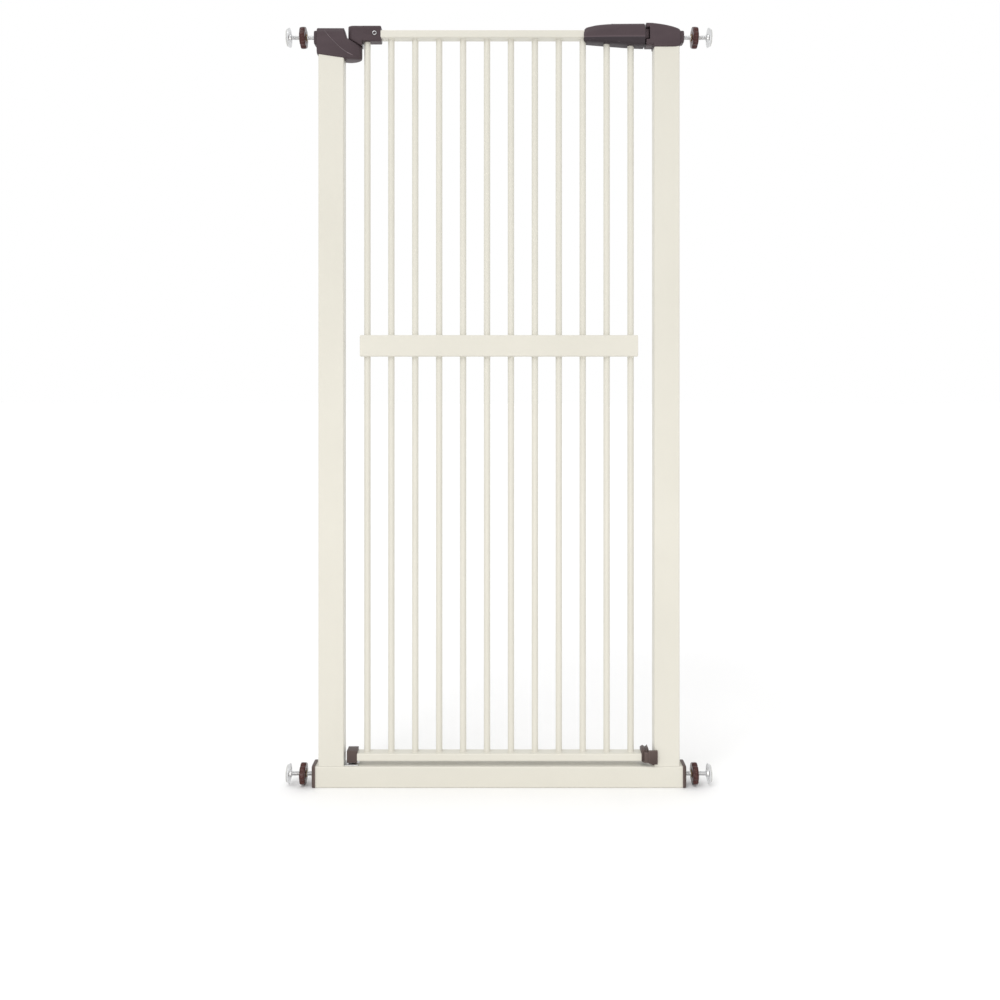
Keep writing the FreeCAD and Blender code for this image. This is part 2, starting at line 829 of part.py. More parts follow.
def make_hinge_bracket():
    """The moulded arm on the top rail; its round nose rides on the fixed lobe."""
    body = new_body("hinge_bracket_blank", kept=False)
    arm = new_sketch(body, "XY", "arm_low")
    rectangle(arm, "-pivot_out", "-nose_radius", "-arm_right", "nose_radius")
    pad(body, arm, "arm_high - arm_low")
    nose = new_sketch(body, "XY", "nose_low")
    circle(nose, "-pivot_out", 0, "lobe_radius + lobe_gap")
    pad(body, nose, "arm_low - nose_low")
    crown = new_sketch(body, "XY", "nose_low")
    circle(crown, "-pivot_out", 0, "nose_radius")
    pad(body, crown, "arm_high - nose_low")
    doc.recompute()
    top = body.Shape.BoundBox.ZMax
    round_edges(
        body,
        "arm_round",
        lambda edge: edge.BoundBox.ZMin > top - 0.3 and not runs_along(edge, Z_AXIS),
    )
    rail_pocket = new_sketch(body, "YZ", "-top_rail_left")
    rectangle(
        rail_pocket,
        "-door_depth / 2 - 0.1",
        "top_rail_low",
        "door_depth / 2 + 0.1",
        "top_rail_low + door_rail_height + 0.1",
    )
    pocket(body, rail_pocket, "through", "One side", reverse=True)
    bar_hole = new_sketch(body, "XY", "arm_low - 1")
    circle(bar_hole, bar_place(1), 0, "bar_radius + 0.2")
    pocket(body, bar_hole, "top_rail_low - arm_low + 1", "One side", reverse=True)
    pin_bore = new_sketch(body, "XY", "arm_high")
    circle(pin_bore, "-pivot_out", 0, "pin_bore")
    pocket(body, pin_bore, "through", "One side")
    head_seat = new_sketch(body, "XY", "arm_high")
    circle(head_seat, "-pivot_out", 0, "pin_head_radius + 0.3")
    pocket(body, head_seat, "arm_high - pin_top", "One side")
    screw_hole = new_sketch(body, "XZ", "nose_radius")
    circle(screw_hole, ARM_SCREW_PLACE, ARM_SCREW_LEVEL, "screw_hole")
    pocket(body, screw_hole, "screw_head_thick", "One side")
    bracket = doc.addObject("Part::Cut", "hinge_bracket")
    bracket.Label = "hinge_bracket"
    bracket.Base = body
    bracket.Tool = make_lobe_room()
    keep(bracket)


def handle_blank(name):
    """The boat-shaped outside of the handle, before it is split into two shells."""
    body = new_body(name)
    side_view = new_sketch(body, "XZ")
    outline(
        side_view,
        [
            ("handle_left", "top_rail_low - 1.5"),
            ("handle_left + 4", "top_rail_low - 4"),
            ("handle_right", "handle_low"),
            ("handle_right", "handle_top"),
            ("handle_left + 57", "handle_top - 0.6"),
            ("handle_left + 30", "handle_top - 3"),
            ("handle_left + 13.5", "handle_top - 6.5"),
            ("handle_left + 3", "handle_top - 12.5"),
            ("handle_left", "handle_top - 18"),
        ],
    )
    pad(body, side_view, "2 * handle_end_half_depth", "Symmetric")
    for side in (-1, 1):
        beside = new_sketch(body, "XY")
        outline(
            beside,
            [
                ("handle_left - 1", f"{side} * handle_tip_half_depth"),
                ("handle_left + handle_taper_length", f"{side} * handle_end_half_depth"),
                ("handle_left + handle_taper_length", f"{side} * (handle_end_half_depth + 2)"),
                ("handle_left - 1", f"{side} * (handle_end_half_depth + 2)"),
            ],
        )
        pocket(body, beside)
    return body


def soften_handle(body, level):
    """Rounds the long outer edges at the top of the shell, away from the split level."""
    doc.recompute()
    far = body.Tip.Shape.BoundBox.YMax - 5.5
    round_edges(
        body,
        "shell_round",
        lambda edge: abs(edge.BoundBox.Center.y) > far
        and not runs_along(edge, Z_AXIS)
        and edge.BoundBox.Center.z - level > 1.5,
    )


def bevel_keel(body):
    """Slants the lower shell's front and back towards a flat strip along the middle."""
    corners = new_sketch(body, "YZ", "handle_left - 1")
    for side in (-1, 1):
        outline(
            corners,
            [
                (f"{side} * keel_flat_half_depth", "handle_low - 0.1"),
                (f"{side} * (handle_end_half_depth + 0.1)", "top_rail_low - 3"),
                (f"{side} * (handle_end_half_depth + 2)", "top_rail_low - 3"),
                (f"{side} * (handle_end_half_depth + 2)", "handle_low - 0.1"),
            ],
        )
    pocket(body, corners, "through", "One side", reverse=True)


def make_handle_cover():
    """The upper shell, with the bolt's channel, the tongue and the slide's slot."""
    body = handle_blank("handle_cover")
    lower_half = new_sketch(body, "XY", "top_rail_low")
    rectangle(lower_half, "handle_left - 5", "-cap_depth", "handle_right + 5", "cap_depth")
    pocket(body, lower_half, "through", "One side")
    soften_handle(body, DIMENSIONS["top_rail_low"])
    tongue = new_sketch(body, "YZ", "handle_right - 1")
    rectangle(
        tongue,
        "-tongue_half_depth",
        "top_rail_low",
        "tongue_half_depth",
        "bolt_level + tongue_half_height",
    )
    pad(body, tongue, "tongue_out - handle_right + 1")
    rail_pocket = new_sketch(body, "YZ", "top_rail_right + 0.2")
    rectangle(
        rail_pocket,
        "-door_depth / 2 - 0.1",
        "top_rail_low - 1",
        "door_depth / 2 + 0.1",
        "top_rail_low + door_rail_height + 0.1",
    )
    pocket(body, rail_pocket, "through", "One side")
    channel = new_sketch(body, "YZ", "top_rail_right")
    rectangle(
        channel,
        "-bolt_half_width - bolt_gap",
        "bolt_level - bolt_half_height - bolt_gap",
        "bolt_half_width + bolt_gap",
        "bolt_level + bolt_half_height + bolt_gap",
    )
    pocket(body, channel, "through", "One side", reverse=True)
    recess = new_sketch(body, "XY", "slide_top - slide_thick - 0.2")
    rectangle(
        recess,
        "slide_left - 0.5",
        "-slide_half_width - 0.3",
        "slide_left + slide_length + bolt_throw + 0.5",
        "slide_half_width + 0.3",
    )
    pocket(body, recess, "through", "One side", reverse=True)
    slot = new_sketch(body, "XY", "top_rail_low")
    rectangle(
        slot,
        "slide_neck_left - 0.5",
        "-slide_neck_half_width - 0.3",
        "slide_neck_left + slide_neck_length + bolt_throw + 0.5",
        "slide_neck_half_width + 0.3",
    )
    pocket(body, slot, "through", "One side", reverse=True)
    screw_holes = new_sketch(body, "XY", "top_rail_low")
    for side in (-1, 1):
        circle(screw_holes, HANDLE_SCREW_PLACE, f"{side} * handle_screw_side", "screw_hole")
    pocket(body, screw_holes, "handle_screw_depth", "One side", reverse=True)


def make_handle_base():
    """The lower shell; two bars pass up through it and its tip reaches round a third."""
    body = handle_blank("handle_base")
    upper_half = new_sketch(body, "XY", "top_rail_low")
    rectangle(upper_half, "handle_left - 5", "-cap_depth", "handle_right + 5", "cap_depth")
    pocket(body, upper_half, "through", "One side", reverse=True)
    bevel_keel(body)
    for number in ("bar_count - 2", "bar_count - 1", "bar_count"):
        bar_hole = new_sketch(body, "XY", "top_rail_low")
        circle(bar_hole, bar_place(number), 0, "bar_radius + 0.2")
        pocket(body, bar_hole, "through", "One side")
    for across, depth in HANDLE_SCREWS:
        shank = new_sketch(body, "XY", "top_rail_low")
        circle(shank, across, depth, "screw_hole")
        pocket(body, shank, "through", "One side")
        head = new_sketch(body, "XY", SCREW_SEAT)
        circle(head, across, depth, "screw_head_radius + 0.2")
        pocket(body, head, "through", "One side")


def make_latch():
    """The steel bolt and the thumb slide pegged into it."""
    bolt = new_body("latch_bolt")
    bar = new_sketch(bolt, "XZ")
    rectangle(
        bar, "bolt_left", "bolt_level - bolt_half_height", "bolt_right", "bolt_level + bolt_half_height"
    )
    pad(bolt, bar, "2 * bolt_half_width", "Symmetric")
    doc.recompute()
    nose_x = bolt.Shape.BoundBox.XMax
    round_edges(bolt, "bolt_round", lambda edge: abs(edge.BoundBox.XMin - nose_x) < 0.01)
    peg_hole = new_sketch(bolt, "XY", "bolt_level + bolt_half_height")
    circle(peg_hole, SLIDE_PEG_PLACE, 0, "screw_hole")
    pocket(bolt, peg_hole, "peg_length + 0.5", "One side")

    slide = new_body("thumb_slide")
    plate = new_sketch(slide, "XY", "slide_top - slide_thick")
    rectangle(plate, "slide_left", "-slide_half_width", "slide_left + slide_length", "slide_half_width")
    pad(slide, plate, "slide_thick")
    neck = new_sketch(slide, "XY", "bolt_level + bolt_half_height")
    rectangle(
        neck,
        "slide_neck_left",
        "-slide_neck_half_width",
        "slide_neck_left + slide_neck_length",
        "slide_neck_half_width",
    )
    pad(slide, neck, "slide_top - bolt_level - bolt_half_height - 1")
    peg = new_sketch(slide, "XY", "bolt_level + bolt_half_height")
    circle(peg, SLIDE_PEG_PLACE, 0, "screw_radius")
    pad(slide, peg, "peg_length", reverse=True)
    groove = new_sketch(slide, "XY", "slide_top")
    rectangle(
        groove,
        "slide_left + groove_margin",
        "-slide_half_width - 1",
        "slide_left + groove_margin + groove_width",
        "slide_half_width + 1",
    )
    cut = pocket(slide, groove, "groove_depth", "One side")
    grip = slide.newObject("PartDesign::LinearPattern", "slide_grip")
    grip.Originals = [cut]
    grip.Direction = (groove, ["H_Axis"])
    grip.Mode = "Extent"
    bind(grip, "Length", "slide_length - 2 * groove_margin - groove_width")
    bind(grip, "Occurrences", "slide_grooves")
    slide.Tip = grip


def make_hinge_pin():
    """The upper pin, carried by its head in the arm, sliding in the fixed lobe."""
    body = new_body("hinge_pin")
    shank = new_sketch(body, "XY", "pin_bottom")
    circle(shank, "-pivot_out", 0, "pin_radius")
    pad(body, shank, "pin_top - pin_bottom")
    head = new_sketch(body, "XY", "pin_top")
    circle(head, "-pivot_out", 0, "pin_head_radius")
    pad(body, head, "pin_head_thick")
    doc.recompute()
    top = body.Shape.BoundBox.ZMax
    round_edges(body, "pin_head_thick / 3", lambda edge: edge.BoundBox.ZMin > top - 0.3)


def make_door():
    make_top_rail()
    make_mid_rail()
    make_mid_rail_plugs()
    make_bottom_rail()
    for number in range(1, DIMENSIONS["bar_count"] + 1):
        make_bar(number)
    make_lower_pivot_cap()
    make_catch_cap()
    make_hinge_bracket()
    arm_screw = screw(
        "hinge_bracket_screw", ARM_SCREW_PLACE, "-nose_radius", ARM_SCREW_LEVEL, INTO_PLUS_Y
    )
    arm_screw.Label = "hinge_bracket_screw"
    keep(arm_screw)
    make_handle_cover()
    make_handle_base()
    screws = [
        screw(f"handle_screw_{number}", across, depth, SCREW_SEAT, INTO_PLUS_Z)
        for number, (across, depth) in enumerate(HANDLE_SCREWS, start=1)
    ]
    compound("handle_screws", screws)


# ---------------------------------------------------------------- spindles

def make_rod(name, side, level):
    """The threaded rod, drawn at its outside diameter, its end set in the disc's hub."""
    body = new_body(name)
    section = new_sketch(body, "YZ", "rod_inner")
    circle(section, 0, 0, "rod_radius")
    pad(body, section, "span_half - pad_thick - disc_thick - rod_inner")
    doc.recompute()
    tip = body.Shape.BoundBox.XMin
    round_edges(body, "rod_tip_round", lambda edge: edge.BoundBox.XMax < tip + 0.3)
    place(body, 0, level, turned=side < 0)


def make_wall_disc(name, side, level):
    """The pressed steel disc with its hub and the rim bent back from the wall."""
    body = new_body(name)
    profile = new_sketch(body, "XZ")
    face = "(span_half - pad_thick)"
    back = "(span_half - pad_thick - disc_thick)"
    outline(
        profile,
        [
            (f"{back} - hub_length", "rod_radius"),
            (f"{back} - hub_length", "hub_radius"),
            (f"{back} - 1.5", "hub_radius"),
            (back, "hub_radius + 2.5"),
            (back, "disc_radius - 3.6"),
            (f"{back} - 2.4", "disc_radius - 0.8"),
            (f"{back} - 1.6", "disc_radius"),
            (face, "disc_radius - 2.4"),
            (face, 0),
            (back, 0),
            (back, "rod_radius"),
        ],
    )
    turned = body.newObject("PartDesign::Revolution", name + "_revolution")
    turned.Profile = profile
    turned.ReferenceAxis = (profile, ["H_Axis"])
    turned.Angle = 360
    body.Tip = turned
    place(body, 0, level, turned=side < 0)


def make_wall_pad(name, side, level):
    body = new_body(name)
    face = new_sketch(body, "YZ", "span_half - pad_thick")
    circle(face, 0, 0, "pad_radius")
    pad(body, face, "pad_thick")
    place(body, 0, level, turned=side < 0)


def make_nut_insert(name, side, level):
    body = new_body(name)
    section = new_sketch(body, "YZ", "nut_middle - nut_thick / 2 - insert_proud")
    circle(section, 0, 0, "insert_radius")
    circle(section, 0, 0, "rod_radius + thread_gap")
    pad(body, section, "nut_thick + 2 * insert_proud")
    place(body, 0, level, turned=side < 0)


def make_hand_nut(name, side, level):
    """The fluted hand wheel round the threaded insert."""
    body = new_body(name)
    blank = new_sketch(body, "YZ", "nut_middle - nut_thick / 2")
    circle(blank, 0, 0, "nut_radius")
    pad(body, blank, "nut_thick")
    round_edges(body, "nut_round", lambda edge: isinstance(edge.Curve, Part.Circle))
    flute = new_sketch(body, "YZ", "nut_middle")
    half_step = "180 / nut_flutes"
    circle(flute, f"flute_centre * cos({half_step})", f"flute_centre * sin({half_step})", "flute_radius")
    cut = pocket(body, flute)
    ring = body.newObject("PartDesign::PolarPattern", name + "_flutes")
    ring.Originals = [cut]
    ring.Axis = (flute, ["N_Axis"])
    ring.Angle = 360
    bind(ring, "Occurrences", "nut_flutes")
    body.Tip = ring
    bore = new_sketch(body, "YZ", "nut_middle")
    circle(bore, 0, 0, "insert_radius + thread_gap")
    pocket(body, bore)
    place(body, 0, level, turned=side < 0)


def make_spindles():
    for height, level in (("top", "top_spindle_level"), ("low", "low_spindle_level")):
        for side, word in ((-1, "left"), (1, "right")):
            where = f"{height}_{word}"
            make_rod("spindle_rod_" + where, side, level)
            make_wall_disc("wall_disc_" + where, side, level)
            make_wall_pad("wall_pad_" + where, side, level)
            make_nut_insert("nut_insert_" + where, side, level)
            make_hand_nut("hand_nut_" + where, side, level)


make_frame()
make_door()
make_hinge_pin()
make_latch()
make_spindles()
doc.recompute()


# ---------------------------------------------------------------- check and write

for item in doc.Objects:
    if {"Invalid", "Error"} & set(item.State):
        raise ValueError(f"{item.Name} did not recompute: {item.State}")

os.makedirs("parts", exist_ok=True)
for item in SUBPARTS:
    if item.Shape.isNull() or not item.Shape.isValid():
        raise ValueError(f"{item.Label} has no valid shape")
    item.Shape.exportStep(f"parts/{item.Label}.step")
print(len(SUBPARTS), "sub-parts written")
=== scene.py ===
"""The looks of the extra-tall pet gate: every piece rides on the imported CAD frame."""
import json
import math

import bmesh
import bpy
from mathutils import Matrix, Vector, noise


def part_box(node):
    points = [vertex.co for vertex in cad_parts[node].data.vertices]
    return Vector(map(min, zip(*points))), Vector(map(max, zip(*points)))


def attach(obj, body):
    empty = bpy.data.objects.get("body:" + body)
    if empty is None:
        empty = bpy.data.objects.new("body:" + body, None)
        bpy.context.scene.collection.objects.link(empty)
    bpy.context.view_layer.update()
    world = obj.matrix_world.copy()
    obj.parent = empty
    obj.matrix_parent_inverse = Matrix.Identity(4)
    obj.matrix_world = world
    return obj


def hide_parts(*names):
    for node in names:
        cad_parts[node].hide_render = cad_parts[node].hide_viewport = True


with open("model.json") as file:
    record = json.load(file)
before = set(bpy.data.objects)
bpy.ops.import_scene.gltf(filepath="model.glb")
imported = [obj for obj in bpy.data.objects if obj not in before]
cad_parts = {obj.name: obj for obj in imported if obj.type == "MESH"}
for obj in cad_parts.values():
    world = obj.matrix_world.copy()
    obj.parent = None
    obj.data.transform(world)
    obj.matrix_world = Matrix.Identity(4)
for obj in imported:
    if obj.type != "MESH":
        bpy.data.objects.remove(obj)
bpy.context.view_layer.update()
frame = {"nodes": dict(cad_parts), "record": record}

MM = 0.001
SIDES = {"left": -1, "right": 1}
CORNERS = [(height, word) for height in ("top", "low") for word in SIDES]
BARS = sorted(name for name in frame["nodes"] if name.startswith("bar_"))


# ---------------------------------------------------------------- materials

class Finish:
    """A Principled material whose detail is all made by noise in the object's own metres."""

    def __init__(self, name, **constants):
        self.material = bpy.data.materials.new(name)
        self.material.use_nodes = True
        self.tree = self.material.node_tree
        self.shader = self.tree.nodes["Principled BSDF"]
        self.place = self.tree.nodes.new("ShaderNodeTexCoord").outputs["Object"]
        for socket, value in constants.items():
            self.shader.inputs[socket.replace("_", " ")].default_value = value

    def node(self, kind, **inputs):
        """A new node with its inputs linked or set."""
        made = self.tree.nodes.new(kind)
        for socket, value in inputs.items():
            target = made.inputs[socket.replace("_", " ")]
            if isinstance(value, bpy.types.NodeSocket):
                self.tree.links.new(value, target)
            else:
                target.default_value = value
        return made

    def stretched(self, x, y, z):
        """The object's coordinates scaled along each axis, for brushed or drawn grain."""
        mapping = self.node("ShaderNodeMapping", Vector=self.place)
        mapping.inputs["Scale"].default_value = (x, y, z)
        return mapping.outputs["Vector"]

    def noise(self, scale, detail=3.0, vector=None):
        """Noise of scale cells to the metre."""
        made = self.node(
            "ShaderNodeTexNoise",
            Vector=vector or self.place,
            Scale=scale,
            Detail=detail,
            Roughness=0.5,
        )
        return made.outputs["Fac"]

    def spread(self, source, low, high, start=0.3, end=0.7):
        """Maps a noise value from start..end onto low..high."""
        made = self.node(
            "ShaderNodeMapRange",
            Value=source,
            From_Min=start,
            From_Max=end,
            To_Min=low,
            To_Max=high,
        )
        return made.outputs["Result"]

    def blend(self, source, first, second, start=0.3, end=0.7):
        """Fades from the first colour to the second as the noise goes from start to end."""
        made = self.tree.nodes.new("ShaderNodeValToRGB")
        self.tree.links.new(source, made.inputs["Fac"])
        low, high = made.color_ramp.elements
        low.position, low.color = start, (*first, 1)
        high.position, high.color = end, (*second, 1)
        return made.outputs["Color"]

    def mix(self, share, first, second, mode="MIX"):
        """The share of the second colour laid over, or multiplied into, the first."""
        made = self.tree.nodes.new("ShaderNodeMix")
        made.data_type = "RGBA"
        made.blend_type = mode
        inputs = {"Factor_Float": share, "A_Color": first, "B_Color": second}
        for identifier, value in inputs.items():
            target = next(s for s in made.inputs if s.identifier == identifier)
            if isinstance(value, bpy.types.NodeSocket):
                self.tree.links.new(value, target)
            else:
                target.default_value = value
        return next(s for s in made.outputs if s.identifier == "Result_Color")

    def worn_edges(self):
        """High on convex edges, for wear."""
        geometry = self.tree.nodes.new("ShaderNodeNewGeometry")
        return self.spread(geometry.outputs["Pointiness"], 0, 1, 0.53, 0.62)

    def bump(self, source, distance, strength, under=None):
        """Relief of this height, laid over any relief under it."""
        made = self.node("ShaderNodeBump", Height=source, Distance=distance, Strength=strength)
        if under is not None:
            self.tree.links.new(under, made.inputs["Normal"])
        return made.outputs["Normal"]

    def use(self, **sockets):
        """Links each value to the shader's socket of that name."""
        for socket, value in sockets.items():
            self.tree.links.new(value, self.shader.inputs[socket.replace("_", " ")])


def make_cream_paint():
    """Satin powder coat: orange peel, a fine grain in it, and a slightly uneven shade."""
    finish = Finish("cream_powder_coat", Coat_Weight=0.12, Coat_Roughness=0.28)
    drift = finish.noise(5.0, detail=2.0)
    tone = finish.blend(drift, (0.600, 0.582, 0.514), (0.624, 0.606, 0.537))
    speck = finish.noise(2600.0, detail=1.0)
    fleck = finish.blend(speck, (0.965, 0.962, 0.955), (1.0, 1.0, 1.0), 0.28, 0.5)
    finish.use(Base_Color=finish.mix(1.0, tone, fleck, "MULTIPLY"))
    finish.use(Roughness=finish.spread(finish.noise(55.0, detail=4.0), 0.36, 0.47))
    peel = finish.bump(finish.noise(420.0, detail=2.0), 0.12 * MM, 0.55)
    fine = finish.noise(1500.0, detail=2.0)
    finish.use(Normal=finish.bump(fine, 0.04 * MM, 0.5, under=peel))
    return finish.material


def make_moulded(name, dark, light, rough, grain=0.04 * MM, ripple=0.25, glint=0.12):
    """Injection-moulded plastic: spark-eroded grain, flow marks, ripple and rubbed edges."""
    finish = Finish(name, IOR=1.5, Specular_IOR_Level=glint)
    flow = finish.noise(18.0, detail=4.0, vector=finish.stretched(0.4, 1.0, 1.6))
    body = finish.blend(flow, dark, light)
    rubbed = tuple(min(1.0, channel * 1.7 + 0.01) for channel in light)
    finish.use(Base_Color=finish.mix(finish.worn_edges(), body, (*rubbed, 1)))
    finish.use(Roughness=finish.spread(finish.noise(90.0, detail=5.0), *rough))
    coarse = finish.bump(finish.noise(60.0, detail=2.0), 0.25 * MM, ripple)
    fine = finish.noise(2400.0, detail=3.0)
    finish.use(Normal=finish.bump(fine, grain, 0.6, under=coarse))
    return finish.material


def make_metal(name, tint, rough, grain_axis):
    """Bright metal with drawn or turned grain and faint stains."""
    finish = Finish(name, Metallic=1.0)
    lines = finish.noise(900.0, detail=3.0, vector=finish.stretched(*grain_axis))
    stain = finish.noise(70.0, detail=4.0)
    darker = tuple(channel * 0.82 for channel in tint)
    finish.use(Base_Color=finish.blend(stain, darker, tint))
    finish.use(Roughness=finish.spread(lines, *rough))
    finish.use(Normal=finish.bump(lines, 0.03 * MM, 0.5))
    return finish.material


def make_rubber():
    """Pale matt rubber with a mottled shade and a fine tooth."""
    finish = Finish("pad_rubber", IOR=1.45)
    mottle = finish.noise(120.0)
    finish.use(Base_Color=finish.blend(mottle, (0.56, 0.56, 0.54), (0.66, 0.66, 0.64)))
    finish.use(Roughness=finish.spread(finish.noise(300.0), 0.6, 0.78))
    finish.use(Normal=finish.bump(finish.noise(1800.0, detail=3.0), 0.06 * MM, 0.6))
    return finish.material


LOOKS = {
    "cream_paint": make_cream_paint(),
    "brown_plastic": make_moulded(
        "brown_plastic",
        dark=(0.058, 0.042, 0.047),
        light=(0.076, 0.056, 0.062),
        rough=(0.26, 0.38),
    ),
    # the same plastic painted darker for the handle's lower shell: painted shade of its underside
    "painted_shade_shell": make_moulded(
        "painted_shade_shell",
        dark=(0.034, 0.027, 0.031),
        light=(0.045, 0.036, 0.041),
        rough=(0.34, 0.46),
    ),
    # and the same plastic tinted warmer on the mouldings near the floor: painted warm light
    "painted_warm_light_shell": make_moulded(
        "painted_warm_light_shell",
        dark=(0.062, 0.045, 0.042),
        light=(0.081, 0.059, 0.054),
        rough=(0.28, 0.4),
    ),
    # the same plastic painted pale along the rib of the hinge cap: a painted highlight
    "painted_highlight_rib": make_moulded(
        "painted_highlight_rib",
        dark=(0.11, 0.09, 0.096),
        light=(0.145, 0.118, 0.126),
        rough=(0.3, 0.4),
        grain=0.03 * MM,
        ripple=0.1,
    ),
    "maroon_plastic": make_moulded(
        "maroon_plastic",
        dark=(0.036, 0.0088, 0.0068),
        light=(0.050, 0.0130, 0.0103),
        rough=(0.2, 0.3),
        grain=0.02 * MM,
        ripple=0.05,
        glint=0.3,
    ),
    "grey_plastic": make_moulded(
        "grey_plastic",
        dark=(0.50, 0.48, 0.42),
        light=(0.58, 0.56, 0.50),
        rough=(0.45, 0.6),
        ripple=0.2,
    ),
    "zinc_steel": make_metal(
        "zinc_steel", tint=(0.78, 0.785, 0.79), rough=(0.24, 0.4), grain_axis=(0.15, 1.0, 1.0)
    ),
    "pressed_steel": make_metal(
        "pressed_steel", tint=(0.76, 0.765, 0.77), rough=(0.24, 0.36), grain_axis=(1.0, 0.6, 0.6)
    ),
    "brass_insert": make_metal(
        "brass_insert", tint=(0.30, 0.22, 0.12), rough=(0.34, 0.48), grain_axis=(0.2, 1.0, 1.0)
    ),
    "pad_rubber": make_rubber(),
}


def paint(obj, look):
    """Gives the object one of the LOOKS as its only material."""
    obj.data.materials.clear()
    obj.data.materials.append(LOOKS[look])


# ---------------------------------------------------------------- mesh building

class Shape:
    """Vertices and faces gathered from several closed shells."""

    def __init__(self):
        self.points = []
        self.faces = []

    def add(self, rings, matrix=None):
        """Skins a list of equal rings and closes both ends."""
        matrix = matrix or Matrix.Identity(4)
        first = len(self.points)
        count = len(rings[0])
        for ring in rings:
            self.points.extend(matrix @ Vector(point) for point in ring)
        for level in range(len(rings) - 1):
            low = first + level * count
            high = low + count
            for i in range(count):
                following = (i + 1) % count
                self.faces.append((low + i, low + following, high + following, high + i))
        self.faces.append(tuple(range(first, first + count)))
        last = first + (len(rings) - 1) * count
        self.faces.append(tuple(range(last, last + count)))
        return self

    def mesh(self, name):
        data = bpy.data.meshes.new(name)
        data.from_pydata(self.points, [], self.faces)
        tidy(data)
        return data


def tidy(data):
    """Merges doubled points, drops empty faces and turns every face outwards."""
    work = bmesh.new()
    work.from_mesh(data)
    bmesh.ops.remove_doubles(work, verts=work.verts, dist=1e-6)
    bmesh.ops.dissolve_degenerate(work, edges=work.edges, dist=1e-7)
    bmesh.ops.recalc_face_normals(work, faces=work.faces)
    work.to_mesh(data)
    work.free()


def finish_piece(data, name, body, slot, nodes=(), sharp=40.0, look=None):
    """Makes the mesh a shaded piece of the gate that rides on its body.

    The look is the slot's own unless another is named.
    """
    data.polygons.foreach_set("use_smooth", [True] * len(data.polygons))
    data.set_sharp_from_angle(angle=math.radians(sharp))
    piece = bpy.data.objects.new(name, data)
    bpy.context.scene.collection.objects.link(piece)
    paint(piece, look or slot)
    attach(piece, body)
    if nodes:
        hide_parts(*nodes)


def worked(data, *changes):
    """The mesh after a list of modifiers, each a kind with its settings."""
    scratch = bpy.data.objects.new("scratch", data)
    bpy.context.scene.collection.objects.link(scratch)
    for kind, settings in changes:
        modifier = scratch.modifiers.new(kind.lower(), kind)
        for key, value in settings.items():
            setattr(modifier, key, value)
    graph = bpy.context.evaluated_depsgraph_get()
    result = bpy.data.meshes.new_from_object(scratch.evaluated_get(graph))
    bpy.data.objects.remove(scratch)
    return result


def cut(data, *cutters):
    """The mesh with each cutter mesh taken out of it."""
    for cutter in cutters:
        tool = bpy.data.objects.new("cutter", cutter)
        bpy.context.scene.collection.objects.link(tool)
        settings = {"operation": "DIFFERENCE", "solver": "EXACT", "object": tool}
        data = worked(data, ("BOOLEAN", settings))
        bpy.data.objects.remove(tool)
    return data


def bevelled(data, width, segments=3):
    """The mesh with its sharp edges rounded to the width."""
    settings = {
        "width": width,
        "segments": segments,
        "limit_method": "ANGLE",
        "angle_limit": math.radians(35.0),
        "harden_normals": False,
    }
    return worked(data, ("BEVEL", settings))


def prism(outline, near, far, name="prism"):
    """A front-view outline of (x, z) points, extruded from y = near to y = far."""
    rings = [[(x, y, z) for x, z in outline] for y in (near, far)]
    return Shape().add(rings).mesh(name)


def block(low, high, name="block"):
    """A plain box between two corners, to be bevelled or used as a cutter."""
    outline = [(low[0], low[2]), (high[0], low[2]), (high[0], high[2]), (low[0], high[2])]
    return prism(outline, low[1], high[1], name)


def joined(name, *meshes):
    """Several meshes as one, still separate closed shells."""
    work = bmesh.new()
    for data in meshes:
        work.from_mesh(data)
    result = bpy.data.meshes.new(name)
    work.to_mesh(result)
    work.free()
    return result


def lathe(profile, around, reshape=None):
    """Rings round the X axis from (along, radius) points; reshape(radius, angle) may alter them."""
    rings = []
    for along, radius in profile:
        ring = []
        for i in range(around):
            angle = 2 * math.pi * i / around
            reach = reshape(radius, angle) if reshape else radius
            ring.append((along, reach * math.cos(angle), reach * math.sin(angle)))
        rings.append(ring)
    return rings


def tube_profile(profile):
    """Closes an open profile round a bore by running back along its first radius."""
    return profile + [profile[0]]


def upright(x, y, z):
    """Turns something modelled along X so that it points up, and puts it in place."""
    return Matrix.Translation((x, y, z)) @ Matrix.Rotation(-math.pi / 2, 4, "Y")


def facing(x, y, z, towards):
    """Turns something modelled along X to face -Y or +Y."""
    return Matrix.Translation((x, y, z)) @ Matrix.Rotation(math.pi / 2 * towards, 4, "Z")


def through(points):
    """A smooth curve through (x, value) points, flat beyond its ends."""
    def slope(i):
        before, after = points[max(i - 1, 0)], points[min(i + 1, len(points) - 1)]
        return (after[1] - before[1]) / (after[0] - before[0])

    def value(x):
        if x <= points[0][0]:
            return points[0][1]
        for i in range(len(points) - 1):
            (x0, v0), (x1, v1) = points[i], points[i + 1]
            if x <= x1:
                span = x1 - x0
                t = (x - x0) / span
                bend0 = (2 * t**3 - 3 * t**2 + 1) * v0 + (t**3 - 2 * t**2 + t) * span * slope(i)
                bend1 = (3 * t**2 - 2 * t**3) * v1 + (t**3 - t**2) * span * slope(i + 1)
                return bend0 + bend1
        return points[-1][1]

    return value


def corners(points):
    """A polyline through (x, value) points, flat beyond its ends."""
    def value(x):
        if x <= points[0][0]:
            return points[0][1]
        for (x0, v0), (x1, v1) in zip(points, points[1:]):
            if x <= x1:
                return v0 + (v1 - v0) * (x - x0) / (x1 - x0)
        return points[-1][1]

    return value


